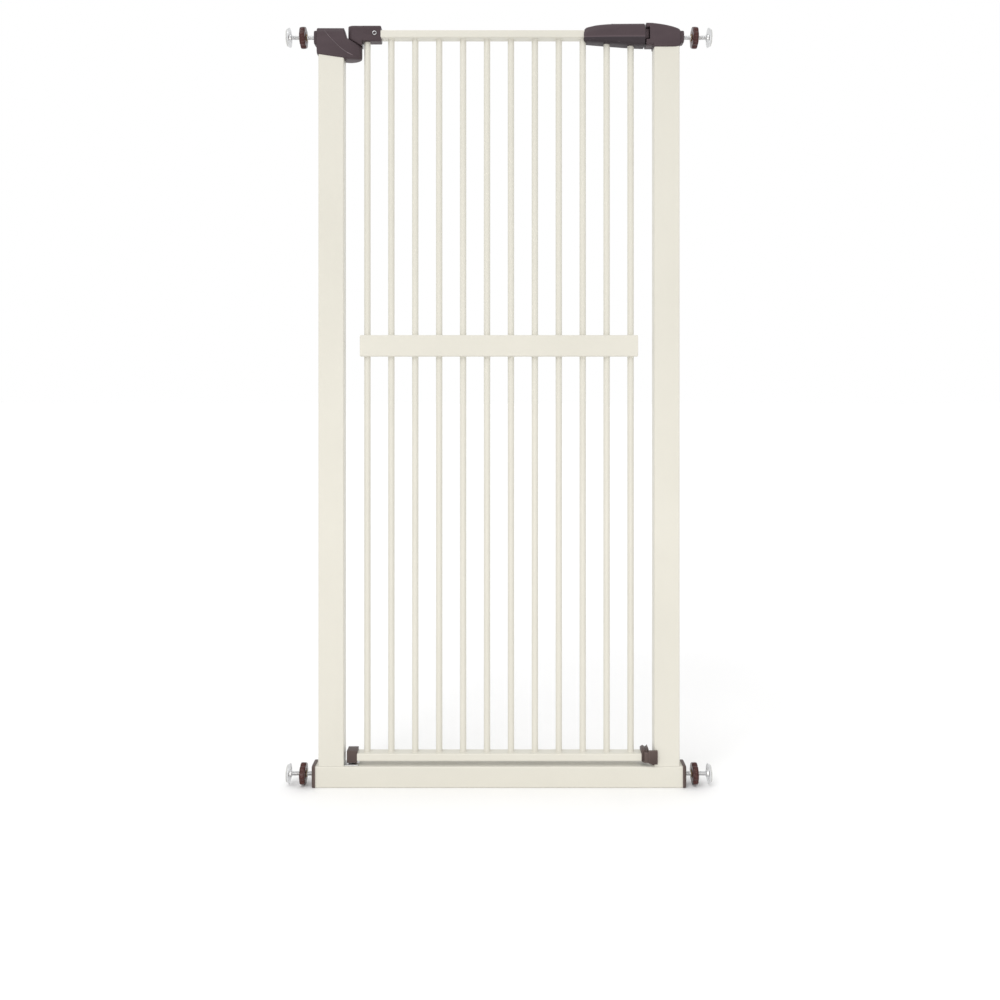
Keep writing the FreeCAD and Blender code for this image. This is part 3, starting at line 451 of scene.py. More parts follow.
def stations(start, end, ends, steps, extra=()):
    """Places along X, crowded near both rounded ends and at any extra places."""
    quarter_steps = 8
    crowd = (-0.6 * MM, -0.2 * MM, 0, 0.2 * MM, 0.6 * MM)
    closest = 0.02 * MM
    spots = {start, end}
    for i in range(steps + 1):
        spots.add(start + (end - start) * i / steps)
    for edge, radius, inward in ((start, ends[0], 1), (end, ends[1], -1)):
        for i in range(quarter_steps + 1):
            turn = i * math.pi / (2 * quarter_steps)
            spots.add(edge + inward * radius * (1 - math.cos(turn)))
    for place in extra:
        spots.update(place + shift for shift in crowd)
    ordered = sorted(spot for spot in spots if start <= spot <= end)
    kept = [ordered[0]]
    for spot in ordered[1:]:
        if spot - kept[-1] > closest:
            kept.append(spot)
    kept[-1] = end
    return kept


def end_inset(x, start, end, ends):
    """How far the skin has drawn in at x, for quarter-round ends."""
    inset = 0.0
    for gap, radius in ((x - start, ends[0]), (end - x, ends[1])):
        if radius > 0 and gap < radius:
            inset = max(inset, radius - math.sqrt(max(0.0, radius**2 - (radius - gap) ** 2)))
    return inset


SKIN_STEPS = 70
SECTION_POINTS = 96
THINNEST = 0.01 * MM


def oval(half_depth, low, high, power, arc=(0.0, 2.0)):
    """A superellipse section (y, z); arc is the part of it, in half turns."""
    middle, half_height = (low + high) / 2, (high - low) / 2
    whole = arc == (0.0, 2.0)
    gaps = SECTION_POINTS if whole else SECTION_POINTS - 1
    section = []
    for i in range(SECTION_POINTS):
        angle = math.pi * (arc[0] + (arc[1] - arc[0]) * i / gaps)
        across, up = math.cos(angle), math.sin(angle)
        y = half_depth * math.copysign(abs(across) ** (2 / power), across)
        z = middle + half_height * math.copysign(abs(up) ** (2 / power), up)
        section.append((y, z))
    return section


def moulded(start, end, depth, low, high, power, ends, steps=SKIN_STEPS, extra=()):
    """A closed shell along X; depth, low, high and power are functions of x."""
    rings = []
    for x in stations(start, end, ends, steps, extra):
        inset = end_inset(x, start, end, ends)
        half_depth = max(depth(x) - inset, THINNEST)
        section = oval(half_depth, low(x) + inset, high(x) - inset, power(x))
        rings.append([(x, y, z) for y, z in section])
    return rings


def half_shell(start, end, depth, flat, crown, power, ends):
    """A shell with one flat side at z = flat and a domed side that reaches crown(x).

    The ends round off fully in height, and by the flank share of that in depth.
    """
    flank = 0.25
    rings = []
    for x in stations(start, end, ends, SKIN_STEPS):
        inset = end_inset(x, start, end, ends)
        height = max(abs(crown(x) - flat) - inset, THINNEST)
        arc = (0.0, 1.0) if crown(x) > flat else (2.0, 1.0)
        half_depth = depth(x) - flank * inset
        section = oval(half_depth, flat - height, flat + height, power(x), arc)
        rings.append([(x, y, z) for y, z in section])
    return rings


def always(value):
    """The same value at every x."""
    return lambda x: value


def at(node, word="middle"):
    """A CAD node's lowest corner, highest corner or middle, in metres."""
    low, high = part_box(node)
    return {"low": low, "high": high, "middle": (low + high) / 2}[word]


def x_reach(node):
    """How near a node comes to the gate's middle and how far out it reaches, along X."""
    low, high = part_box(node)
    return sorted((abs(low.x), abs(high.x)))


# ---------------------------------------------------------------- steel frame and door

def paint_tubes():
    """The painted tubes keep their CAD shape."""
    for record in frame["record"]["subparts"]:
        if record["material_slot"] == "cream_paint":
            paint(frame["nodes"][record["node"]], "cream_paint")


def weld_ring(centre, reach, rise, seed):
    """A small uneven fillet of weld round a bar, rising to one side of the rail's face."""
    around = 40
    arc_steps = 6
    leg = 1.9 * MM
    unevenness = 0.35
    lumps = 2.2
    seed_step = 3.7
    rings = []
    for i in range(arc_steps + 1):
        turn = math.pi / 2 * i / arc_steps
        ring = []
        for k in range(around):
            angle = 2 * math.pi * k / around
            spot = Vector((math.cos(angle) * lumps, math.sin(angle) * lumps, seed * seed_step))
            size = leg * (1 + unevenness * noise.noise(spot))
            out = reach + size * (1 - math.sin(turn))
            along = size * (1 - math.cos(turn))
            ring.append((
                centre[0] + out * math.cos(angle),
                centre[1] + out * math.sin(angle),
                centre[2] + rise * along,
            ))
        rings.append(ring)
    hidden = reach * 0.9
    inner = []
    for k in range(around):
        angle = 2 * math.pi * k / around
        inner.append((
            centre[0] + hidden * math.cos(angle),
            centre[1] + hidden * math.sin(angle),
            centre[2] + rise * leg,
        ))
    return rings + [inner]


def make_welds():
    """Weld beads where each bar meets a rail, painted over with the rest."""
    sunk = 0.1 * MM
    below, above = -1, 1
    joints = {
        "welds_top_rail": [(at("door_top_rail", "low").z, below)],
        "welds_mid_rail": [
            (at("door_mid_rail", "low").z, below),
            (at("door_mid_rail", "high").z, above),
        ],
        "welds_bottom_rail": [(at("door_bottom_rail", "high").z, above)],
    }
    for name, levels in joints.items():
        shape = Shape()
        for number, bar in enumerate(BARS):
            middle = at(bar)
            reach = (at(bar, "high").x - at(bar, "low").x) / 2
            for level, rise in levels:
                seed = number + 20 * level
                shape.add(weld_ring((middle.x, middle.y, level), reach - sunk, rise, seed))
        finish_piece(shape.mesh(name), name, "door", "cream_paint", sharp=70)


def make_mid_rail_plugs():
    """The two end plugs of the middle rail, with a softly rounded outer edge."""
    low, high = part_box("mid_rail_plugs")
    face, back = high.x, high.x - 1.5 * MM
    edge = ((0.0, back), (0.0, face - 0.9 * MM), (0.3 * MM, face - 0.25 * MM), (1.0 * MM, face))
    shape = Shape()
    for side in SIDES.values():
        rings = []
        for inset, x in edge:
            section = oval(high.y - inset, low.z + inset, high.z - inset, power=9.0)
            rings.append([(x, y, z) for y, z in section])
        shape.add(rings, Matrix.Scale(side, 4, (1, 0, 0)))
    finish_piece(shape.mesh("mid_plugs"), "mid_plugs", "door", "grey_plastic", ["mid_rail_plugs"])


# ---------------------------------------------------------------- hinge

PIVOT_X = at("hinge_pin").x
RAMP_LEVEL = 1.462  # height of the sloping plane on the pivot's axis
RAMP_SLOPE = 0.55
LOBE = 14.5 * MM  # radius of the fixed lobe
NOSE = 13.0 * MM  # radius of the arm's nose
STUB_LENGTH = 6.3 * MM  # how far the post caps' spindle stubs stand out
STUB_DEPTH = 13 * MM  # half their depth
PIN_BORE = 4.15 * MM


def ramp(x):
    """Height of the sloping plane between the fixed lobe and the door's nose."""
    return RAMP_LEVEL - RAMP_SLOPE * (x - PIVOT_X)


def round_reach(x, radius):
    """Half depth of a round boss at x, measured from the pivot."""
    return math.sqrt(max(radius**2 - (x - PIVOT_X) ** 2, 1e-10))


class HingeCapForm:
    """The hinge cap's skin as functions of x: a box, a V notch and the lobe's sloping top."""

    lobe_power = 2.2
    box_power = 6.0
    end_power = 3.5

    def __init__(self):
        low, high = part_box("hinge_post_cap")
        self.outer = low.x + STUB_LENGTH
        self.notch = PIVOT_X - LOBE
        self.shoulder = self.notch - 5.5 * MM
        self.lobe_end = PIVOT_X + LOBE
        self.half_depth = high.y
        self.crest = high.z
        self.bottom = through([
            (self.outer, low.z + 8.5 * MM),
            (self.shoulder, low.z + 0.6 * MM),
            (PIVOT_X, low.z),
            (self.lobe_end - 2 * MM, low.z + 2 * MM),
            (self.lobe_end, low.z + 5 * MM),
        ])

    def along_lobe(self, x):
        return min(1.0, max(0.0, (x - self.notch) / (self.lobe_end - self.notch)))

    def depth(self, x):
        rounding = (1 - self.along_lobe(x) ** self.lobe_power) ** (1 / self.lobe_power)
        return max(self.half_depth * rounding, 0.1 * MM)

    def top(self, x):
        if x < self.shoulder:
            return self.crest
        if x < self.notch:
            share = (x - self.shoulder) / (self.notch - self.shoulder)
            return self.crest + (ramp(self.notch) - self.crest) * share
        return ramp(x)

    def power(self, x):
        return self.box_power + (self.end_power - self.box_power) * self.along_lobe(x)

    def front(self, x, z):
        """The y of the front skin at this x and height."""
        middle = (self.top(x) + self.bottom(x)) / 2
        half = (self.top(x) - self.bottom(x)) / 2
        share = min(0.999, abs(z - middle) / half)
        return -self.depth(x) * (1 - share ** self.power(x)) ** (1 / self.power(x))


def make_hinge_cap_ridge(form):
    """The rib that curves down the front of the cap, thinner at both ends, coloured pale as a
    painted highlight.
    """
    thickness = 0.9 * MM
    steps = 60
    around = 12
    start = form.outer + 16 * MM
    length = 55 * MM
    ridge = through([
        (start, form.crest - 7 * MM),
        (form.outer + 26 * MM, form.crest - 19 * MM),
        (form.outer + 37.5 * MM, form.crest - 31.5 * MM),
        (form.outer + 49 * MM, form.crest - 42 * MM),
        (form.outer + 61 * MM, form.crest - 50 * MM),
        (start + length, form.crest - 54.5 * MM),
    ])
    rings = []
    for i in range(steps + 1):
        share = i / steps
        x = start + length * share
        z = ridge(x)
        skin = form.front(x, z)
        thick = thickness * math.sin(math.pi * min(0.98, max(0.02, share))) ** 0.5
        rings.append([
            (x, skin + thick * math.cos(turn), z + thick * math.sin(turn))
            for turn in (2 * math.pi * k / around for k in range(around))
        ])
    data = Shape().add(rings).mesh("ridge")
    # the rib's pale colour is a painted highlight along the crease
    finish_piece(data, "hinge_cap_ridge", "frame", "brown_plastic", look="painted_highlight_rib")


def make_hinge_post_cap():
    """The left post's cap: a boxy shell, a V notch, and the lobe with its sloping top."""
    form = HingeCapForm()
    make_hinge_cap_ridge(form)
    shape = Shape().add(moulded(
        form.outer, form.lobe_end, form.depth, form.bottom, form.top, form.power,
        ends=(2.5 * MM, 1.2 * MM), steps=90, extra=(form.shoulder, form.notch),
    ))
    stub_start = at("hinge_post_cap", "low").x
    stub_low, stub_high = form.crest - 31 * MM, form.crest - 4 * MM
    shape.add(moulded(
        stub_start, form.outer + 3 * MM, always(STUB_DEPTH), always(stub_low), always(stub_high),
        always(6.0), ends=(2.0 * MM, 0.2 * MM), steps=10,
    ))
    data = shape.mesh("hinge_cap_shell")
    finish_piece(data, "hinge_cap_shell", "frame", "brown_plastic", ["hinge_post_cap"])


def make_hinge_bracket():
    """The door's arm: its nose turns on the pin over the lobe, its sleeve holds the rail."""
    high = at("hinge_bracket", "high")
    sleeve_end = high.x - 1.5 * MM
    sleeve_low = at("door_top_rail", "low").z - 6.5 * MM
    nose_start = PIVOT_X - NOSE
    step = PIVOT_X + LOBE + 0.8 * MM
    ramp_gap = 0.35 * MM
    seat_radius, seat_depth = 6.9 * MM, 3.4 * MM

    def depth(x):
        return NOSE if x > PIVOT_X else round_reach(max(x, nose_start + 0.3 * MM), NOSE)

    def bottom(x):
        return ramp(x) + ramp_gap if x < step else sleeve_low

    arm = Shape().add(moulded(
        nose_start, sleeve_end, depth, bottom, always(high.z), always(8.0),
        ends=(0.6 * MM, 2.0 * MM), extra=(step,),
    )).mesh("arm")
    seat_rings = lathe([(-seat_depth, seat_radius), (2 * MM, seat_radius)], 48)
    seat = Shape().add(seat_rings, upright(PIVOT_X, 0, high.z)).mesh("seat")
    tip_slot = block(
        (sleeve_end - 9 * MM, -3 * MM, high.z - 0.8 * MM),
        (sleeve_end - 3 * MM, 3 * MM, high.z + MM),
    )
    arm = cut(arm, seat, tip_slot)
    finish_piece(arm, "hinge_arm", "door", "brown_plastic", ["hinge_bracket"])


def screw_rings(reach, thick, shank):
    """A domed head with a six-sided socket, its shank running back along -X."""
    def six_sided(size, angle):
        if size > reach * 0.52:
            return size
        sector = (angle % (math.pi / 3)) - math.pi / 6
        return size * math.cos(math.pi / 6) / math.cos(sector)

    dome = [
        (-shank, 0.0),
        (-shank, 1.9 * MM),
        (0.0, 1.9 * MM),
        (0.0, reach - 0.15 * MM),
        (0.15 * MM, reach),
        (thick * 0.4, reach),
        (thick * 0.75, reach * 0.9),
        (thick * 0.93, reach * 0.75),
        (thick, reach * 0.58),
        (thick, reach * 0.5),
        (thick - 0.1 * MM, reach * 0.47),
        (thick * 0.35, reach * 0.46),
        (thick * 0.3, 0.0),
    ]
    return lathe(dome, 48, six_sided)


def rivet_rings(reach, thick, shank):
    """A hollow rivet: a rounded ring of a head round an open bore."""
    bore = reach * 0.6
    ring = [
        (-shank, bore),
        (-shank, bore + 0.4 * MM),
        (0.0, bore + 0.4 * MM),
        (0.0, reach - 0.3 * MM),
        (0.3 * MM, reach),
        (thick * 0.5, reach),
        (thick * 0.85, reach * 0.93),
        (thick, reach * 0.8),
        (thick, reach * 0.74),
        (thick * 0.8, reach * 0.66),
        (thick * 0.4, bore),
    ]
    return lathe(tube_profile(ring), 56)


def make_screws():
    """Pan heads: behind the post caps, on the arm and under the handle."""
    head, thick = 4.2 * MM, 2.2 * MM
    shape = Shape()
    low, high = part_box("post_cap_screws")
    for x in (low.x + head, high.x - head):
        place = facing(x, high.y - thick, (low.z + high.z) / 2, 1)
        shape.add(screw_rings(head, thick, 8 * MM), place)
    finish_piece(shape.mesh("cap_screws"), "cap_screws", "frame", "zinc_steel", ["post_cap_screws"])

    low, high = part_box("hinge_bracket_screw")
    place = facing((low.x + high.x) / 2, low.y + thick, (low.z + high.z) / 2, -1)
    ring = Shape().add(rivet_rings(head, thick, 7 * MM), place)
    finish_piece(ring.mesh("arm_screw"), "arm_screw", "door", "zinc_steel", ["hinge_bracket_screw"])

    low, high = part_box("handle_screws")
    shape = Shape()
    spots = [(low.x + head, 0.0), (high.x - head, low.y + head), (high.x - head, high.y - head)]
    for x, y in spots:
        down = Matrix.Translation((x, y, low.z + thick)) @ Matrix.Rotation(math.pi / 2, 4, "Y")
        shape.add(screw_rings(head, thick, 8 * MM), down)
    finish_piece(shape.mesh("shell_screws"), "shell_screws", "door", "zinc_steel", ["handle_screws"])


def make_hinge_pin():
    """The upper pin with a domed, centre-marked head."""
    low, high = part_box("hinge_pin")
    length = high.z - low.z
    head = (high.x - low.x) / 2
    profile = [
        (0.0, 0.0),
        (0.0, 3.2 * MM),
        (0.8 * MM, 4.0 * MM),
        (length - 2.5 * MM, 4.0 * MM),
        (length - 2.5 * MM, head - 0.2 * MM),
        (length - 2.3 * MM, head),
        (length - 0.9 * MM, head),
        (length - 0.3 * MM, head - 0.6 * MM),
        (length, head - 1.8 * MM),
        (length, 1.6 * MM),
        (length - 0.5 * MM, 0.7 * MM),
        (length - 0.6 * MM, 0.0),
    ]
    shape = Shape().add(lathe(profile, 56), upright(PIVOT_X, 0, low.z))
    finish_piece(shape.mesh("upper_pin"), "upper_pin", "hinge_pin", "zinc_steel", ["hinge_pin"])


def make_foot_bracket():
    """The foot plate with the lower pin welded on it."""
    low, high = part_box("lower_hinge_bracket")
    plate_top = low.z + 2 * MM
    length = high.z - plate_top
    plate = bevelled(block(low, (high.x, high.y, plate_top)), 0.5 * MM, 2)
    profile = [
        (0.0, 0.0),
        (0.0, 6.2 * MM),
        (0.6 * MM, 5.4 * MM),
        (1.8 * MM, 4.2 * MM),
        (2.6 * MM, 4.0 * MM),
        (length - 0.8 * MM, 4.0 * MM),
        (length, 3.2 * MM),
        (length, 0.0),
    ]
    pin = Shape().add(lathe(profile, 48), upright(PIVOT_X, 0, plate_top)).mesh("pin")
    data = joined("foot_bracket", plate, pin)
    finish_piece(data, "foot_bracket", "frame", "zinc_steel", ["lower_hinge_bracket"])


def make_pivot_corner():
    """The door's bottom corner that turns on the lower pin."""
    low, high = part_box("lower_pivot_cap")
    inner = at("door_bottom_rail", "low").x + 1.2 * MM
    shell = bevelled(block(low, (inner, high.y, high.z)), 0.9 * MM, 4)
    bore_rings = lathe([(-1 * MM, PIN_BORE), (20 * MM, PIN_BORE)], 48)
    bore = Shape().add(bore_rings, upright(PIVOT_X, 0, low.z)).mesh("bore")
    shell = cut(shell, bore)
    # the warmer copy of the brown plastic near the floor is painted warm light
    finish_piece(
        shell, "pivot_corner", "door", "brown_plastic", ["lower_pivot_cap"], look="painted_warm_light_shell"
    )


# ---------------------------------------------------------------- latch side

HANDLE_LOW, HANDLE_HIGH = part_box("handle_cover")
HANDLE_END = at("handle_base", "high").x
BASE_LOW = at("handle_base", "low").z - 2.5 * MM
SPLIT = HANDLE_LOW.z  # height of the plane where the two shells meet
SEAM = 0.05 * MM  # half the gap between them
THROW = 9.5 * MM  # how far the bolt slides

# half depth of the handle along X: narrow where it meets the rail, full at the latch
handle_depth = through([
    (HANDLE_LOW.x, 15.6 * MM),
    (HANDLE_LOW.x + 25 * MM, 17.2 * MM),
    (HANDLE_LOW.x + 60 * MM, 18.5 * MM),
    (HANDLE_LOW.x + 90 * MM, HANDLE_HIGH.y),
    (HANDLE_HIGH.x, HANDLE_HIGH.y),
])


def make_handle():
    """The boat-shaped handle's domed cover, with the tongue that holds the bolt."""
    low, high = HANDLE_LOW, HANDLE_HIGH
    crown = through([
        (low.x, high.z - 9.5 * MM),
        (low.x + 12 * MM, high.z - 6.0 * MM),
        (low.x + 28 * MM, high.z - 2.8 * MM),
        (low.x + 55 * MM, high.z - 0.8 * MM),
        (HANDLE_END, high.z),
    ])
    cover = Shape().add(half_shell(
        low.x, HANDLE_END, handle_depth, SPLIT + SEAM, crown, always(3.0),
        ends=(7.0 * MM, 1.0 * MM),
    )).mesh("cover")
    slide_low, slide_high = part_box("thumb_slide")
    tray = block(
        (slide_low.x - 0.6 * MM, slide_low.y - 0.4 * MM, slide_high.z - 3.1 * MM),
        (slide_high.x + THROW + 0.6 * MM, slide_high.y + 0.4 * MM, high.z + 5 * MM),
    )
    bolt_low, bolt_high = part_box("latch_bolt")
    bolt_gap = 0.3 * MM
    channel = block(
        (HANDLE_END - 12 * MM, bolt_low.y - bolt_gap, bolt_low.z - bolt_gap),
        (high.x + 5 * MM, bolt_high.y + bolt_gap, bolt_high.z + bolt_gap),
    )
    cover = cut(cover, tray, channel)
    tongue = block(
        (HANDLE_END - 2 * MM, -10 * MM, SPLIT + SEAM),
        (high.x + MM, 10 * MM, SPLIT + 18.5 * MM),
        "tongue",
    )
    tongue = bevelled(cut(tongue, channel), 0.5 * MM, 2)
    data = joined("handle_top_shell", cover, tongue)
    finish_piece(data, "handle_top_shell", "door", "brown_plastic", ["handle_cover"], sharp=32)


def make_handle_base():
    """The handle's shallow lower shell, painted darker than the cover as shade."""
    keel = through([
        (HANDLE_LOW.x, SPLIT - 7.0 * MM),
        (HANDLE_LOW.x + 30 * MM, SPLIT - 9.5 * MM),
        (HANDLE_END - 20 * MM, BASE_LOW + 0.8 * MM),
        (HANDLE_END, BASE_LOW),
    ])
    base = Shape().add(half_shell(
        HANDLE_LOW.x, HANDLE_END, handle_depth, SPLIT - SEAM, keel, always(3.6),
        ends=(4.5 * MM, 1.0 * MM),
    )).mesh("base")
    # the darker copy of the brown plastic here is painted shade on the underside
    finish_piece(
        base, "handle_bottom_shell", "door", "brown_plastic", ["handle_base"], sharp=32,
        look="painted_shade_shell",
    )


def make_bolt():
    """The steel bolt, a bar with eased edges."""
    low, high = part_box("latch_bolt")
    bar = bevelled(block(low, high, "bolt"), 0.8 * MM, 3)
    finish_piece(bar, "bolt_bar", "latch", "zinc_steel", ["latch_bolt"])


def make_thumb_slide():
    """The ribbed button that moves the bolt, with the neck that reaches down to it."""
    low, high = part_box("thumb_slide")
    plate_low = high.z - 2.8 * MM
    grooves, groove_width, groove_depth = 6, 1.4 * MM, 0.8 * MM
    first = low.x + 4 * MM
    spread = high.x - low.x - 9.4 * MM
    plate = block((low.x, low.y, plate_low), (high.x, high.y, high.z), "plate")
    for i in range(grooves):
        x = first + i * spread / (grooves - 1)
        groove = block(
            (x, low.y - MM, high.z - groove_depth), (x + groove_width, high.y + MM, high.z + MM)
        )
        plate = cut(plate, groove)
    plate = bevelled(plate, 0.35 * MM, 2)
    neck_x = at("latch_bolt", "low").x + 7 * MM
    neck = block(
        (neck_x, -3 * MM, low.z + 4.5 * MM), (neck_x + 8 * MM, 3 * MM, plate_low + MM), "neck"
    )
    data = joined("slide", plate, neck)
    finish_piece(data, "slide_button", "latch", "brown_plastic", ["thumb_slide"])


def make_latch_post_cap():
    """The right post's cap: it carries on the handle's line and tapers to the stub."""
    low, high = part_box("latch_post_cap")
    stub = high.x - STUB_LENGTH
    post_face = at("right_post", "low").x
    crown = through([
        (low.x, high.z),
        (low.x + 14 * MM, high.z - 0.5 * MM),
        (low.x + 38 * MM, high.z - 4.0 * MM),
        (low.x + 58 * MM, high.z - 9.0 * MM),
        (stub, high.z - 13.5 * MM),
    ])
    keel = corners([
        (low.x, BASE_LOW),
        (post_face - 1.2 * MM, BASE_LOW),
        (post_face - 0.4 * MM, low.z),
        (stub - 9 * MM, low.z),
        (stub - 3 * MM, low.z + 1.5 * MM),
        (stub, low.z + 5 * MM),
    ])
    depth = through([
        (low.x, high.y), (low.x + 45 * MM, high.y), (stub, high.y - 2.0 * MM)
    ])
    shell = Shape().add(moulded(
        low.x, stub, depth, keel, crown, always(5.0), ends=(1.0 * MM, 5.0 * MM),
        extra=(post_face - 0.8 * MM,),
    )).mesh("shell")
    recess = block(
        (low.x - MM, -25 * MM, SPLIT - 5 * MM), (low.x + 7.1 * MM, 11.5 * MM, SPLIT + 20 * MM)
    )
    bolt_low, bolt_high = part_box("latch_bolt")
    pocket_gap = 0.5 * MM
    pocket = block(
        (low.x, bolt_low.y - pocket_gap, bolt_low.z - pocket_gap),
        (low.x + 14.3 * MM, bolt_high.y + pocket_gap, bolt_high.z + pocket_gap),
    )
    shell = cut(shell, recess, pocket)
    boss_low, boss_high = low.z + 11 * MM, high.z - 15 * MM
    boss = Shape().add(moulded(
        stub - 8 * MM, high.x, always(STUB_DEPTH), always(boss_low), always(boss_high),
        always(6.0), ends=(0.2 * MM, 2.0 * MM), steps=14,
    )).mesh("boss")
    data = joined("latch_cap_shell", shell, boss)
    finish_piece(data, "latch_cap_shell", "frame", "brown_plastic", ["latch_post_cap"], sharp=32)


def make_catch():
    """The door's other bottom corner, with the arm that stops on the front of the post."""
    low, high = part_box("catch_cap")
    rail_end = at("door_bottom_rail", "high").x
    pivot_low, pivot_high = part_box("lower_pivot_cap")
    base, crest, side = pivot_low.z, pivot_high.z, pivot_high.y
    inner = rail_end + 14 * MM
    body = prism(
        [
            (rail_end, base + 3 * MM),
            (rail_end + 6 * MM, base),
            (inner, base + 2 * MM),
            (inner, crest + 4 * MM),
            (inner - 4 * MM, crest),
            (rail_end + 5 * MM, crest + 3 * MM),
            (rail_end, crest),
        ],
        -side, side,
    )
    arm = prism(
        [
            (inner - 1 * MM, base + 2 * MM),
            (inner + 3 * MM, base + 1 * MM),
            (inner + 8 * MM, base - 1.5 * MM),
            (inner + 12 * MM, base),
            (high.x, base),
            (high.x, crest + 3 * MM),
            (inner - 1 * MM, crest + 3 * MM),
        ],
        low.y, low.y + 5.6 * MM,
    )
    root = block((inner - 9 * MM, low.y + MM, base + 3 * MM), (inner, -side + 4 * MM, crest - MM))
    data = joined("catch", *(bevelled(part, 0.9 * MM, 3) for part in (body, arm, root)))
    # the warmer copy of the brown plastic near the floor is painted warm light
    finish_piece(data, "catch_corner", "door", "brown_plastic", ["catch_cap"], look="painted_warm_light_shell")


# ---------------------------------------------------------------- spindles and end plugs

PITCH = 1.25 * MM
ROD_RADIUS = 4.0 * MM


def outwards(word):
    """Turns something modelled along +X so that it points out of that side of the gate."""
    return Matrix.Identity(4) if SIDES[word] > 0 else Matrix.Rotation(math.pi, 4, "Z")


def make_end_plugs():
    """The moulded plates on the rail's ends, each with a hole for its spindle."""
    bore = 4.4 * MM
    edge = ((0.0, 6.5 * MM), (0.0, 2.0 * MM), (0.5 * MM, 0.7 * MM), (1.6 * MM, 0.0))
    for word, side in SIDES.items():
        node = f"rail_end_cap_{word}"
        low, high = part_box(node)
        face = x_reach(node)[1]
        rings = []
        for inset, back in edge:
            section = oval(high.y - inset, low.z + inset, high.z - inset, power=12.0)
            rings.append([(face - back, y, z) for y, z in section])
        flip = Matrix.Scale(side, 4, (1, 0, 0))
        plate = Shape().add(rings, flip).mesh("plate")
        level = at(f"spindle_rod_low_{word}").z
        hole_rings = lathe([(face - 9 * MM, bore), (face + 2 * MM, bore)], 40)
        hole = Shape().add(hole_rings, flip @ Matrix.Translation((0, 0, level))).mesh("hole")
        plate = cut(plate, hole)
        name = f"end_plate_{word}"
        # the warmer copy of the brown plastic near the floor is painted warm light
        finish_piece(plate, name, "frame", "brown_plastic", [node], look="painted_warm_light_shell")


def thread_rings(start, end):
    """A right-handed thread on a rod along X, with a plain lead at each end."""
    depth = 0.55 * MM
    lead_length = 1.5 * MM
    crest_width = 1.35
    around = 30
    steps_per_turn = 7
    count = int((end - start) / (PITCH / steps_per_turn))
    rings = [[(start, 0.0, 0.0)] * around]
    for i in range(count + 1):
        x = start + (end - start) * i / count
        lead = max(0.0, min(1.0, (x - start) / lead_length, (end - x) / lead_length))
        ring = []
        for k in range(around):
            angle = 2 * math.pi * k / around
            wave = 0.5 + 0.5 * math.cos(2 * math.pi * (x / PITCH) - angle)
            reach = ROD_RADIUS - depth + depth * lead * min(1.0, wave * crest_width)
            ring.append((x, reach * math.cos(angle), reach * math.sin(angle)))
        rings.append(ring)
    rings.append([(end, 0.0, 0.0)] * around)
    return rings


def make_rod(where, place):
    """The threaded rod."""
    node = "spindle_rod_" + where
    start, end = x_reach(node)
    rod = Shape().add(thread_rings(start, end), place).mesh("rod")
    finish_piece(rod, "thread_" + where, "spindle_" + where, "zinc_steel", [node], sharp=60)


def make_disc(where, place):
    """The pressed disc: a neck on the rod, a ringed dish and a rolled rim."""
    node = "wall_disc_" + where
    outer = x_reach(node)[1]
    rim = (at(node, "high").z - at(node, "low").z) / 2
    back = outer - 2.0 * MM
    neck = [
        (back - 6 * MM, ROD_RADIUS),
        (back - 6 * MM, 6.1 * MM),
        (back - 5.6 * MM, 6.5 * MM),
        (back - 1.8 * MM, 6.5 * MM),
        (back - 0.6 * MM, 7.3 * MM),
    ]
    dish = [
        (back - 0.1 * MM, 9.0 * MM),
        (back, 11.5 * MM),
        (back - 0.5 * MM, 12.6 * MM),
        (back - 0.5 * MM, 13.4 * MM),
        (back, 14.4 * MM),
        (back - 0.4 * MM, 15.6 * MM),
    ]
    rolled = [
        (back - 1.4 * MM, rim - 1.9 * MM),
        (back - 2.3 * MM, rim - 0.9 * MM),
        (back - 2.4 * MM, rim - 0.3 * MM),
        (back - 2.0 * MM, rim),
        (back - 1.2 * MM, rim - 0.1 * MM),
        (outer - 1.0 * MM, rim - 1.4 * MM),
    ]
    inside = [
        (outer, rim - 2.8 * MM),
        (outer, 0.0),
        (back - 0.5 * MM, 0.0),
        (back - 0.5 * MM, ROD_RADIUS),
    ]
    disc = Shape().add(lathe(neck + dish + rolled + inside, 96), place).mesh("disc")
    finish_piece(disc, "disc_" + where, "spindle_" + where, "pressed_steel", [node])


def make_pad(where, place):
    """The rubber face on the disc, with a tread of round grooves."""
    node = "wall_pad_" + where
    outer = x_reach("wall_disc_" + where)[1]
    face = x_reach(node)[1]
    floor = face - 0.5 * MM
    soft = [(outer, 0.0), (outer, 16.3 * MM), (floor, 16.5 * MM), (face, 15.9 * MM)]
    for groove in (13.0 * MM, 9.5 * MM, 6.0 * MM):
        soft += [
            (face, groove + 1.0 * MM),
            (floor, groove + 0.7 * MM),
            (floor, groove - 0.7 * MM),
            (face, groove - 1.0 * MM),
        ]
    soft.append((face, 0.0))
    pad = Shape().add(lathe(soft, 72), place).mesh("pad")
    finish_piece(pad, "pad_" + where, "spindle_" + where, "pad_rubber", [node])


def make_insert(where, place):
    """The threaded bush in the middle of the hand wheel."""
    node = "nut_insert_" + where
    near, far = x_reach(node)
    chamfer = 0.4 * MM
    bush = tube_profile([
        (near + chamfer, 4.08 * MM),
        (near, 4.5 * MM),
        (near, 6.5 * MM),
        (near + chamfer, 6.95 * MM),
        (far - chamfer, 6.95 * MM),
        (far, 6.5 * MM),
        (far, 4.5 * MM),
        (far - chamfer, 4.08 * MM),
    ])
    insert = Shape().add(lathe(bush, 48), place).mesh("insert")
    finish_piece(insert, "insert_bush_" + where, "insert_" + where, "brass_insert", [node])


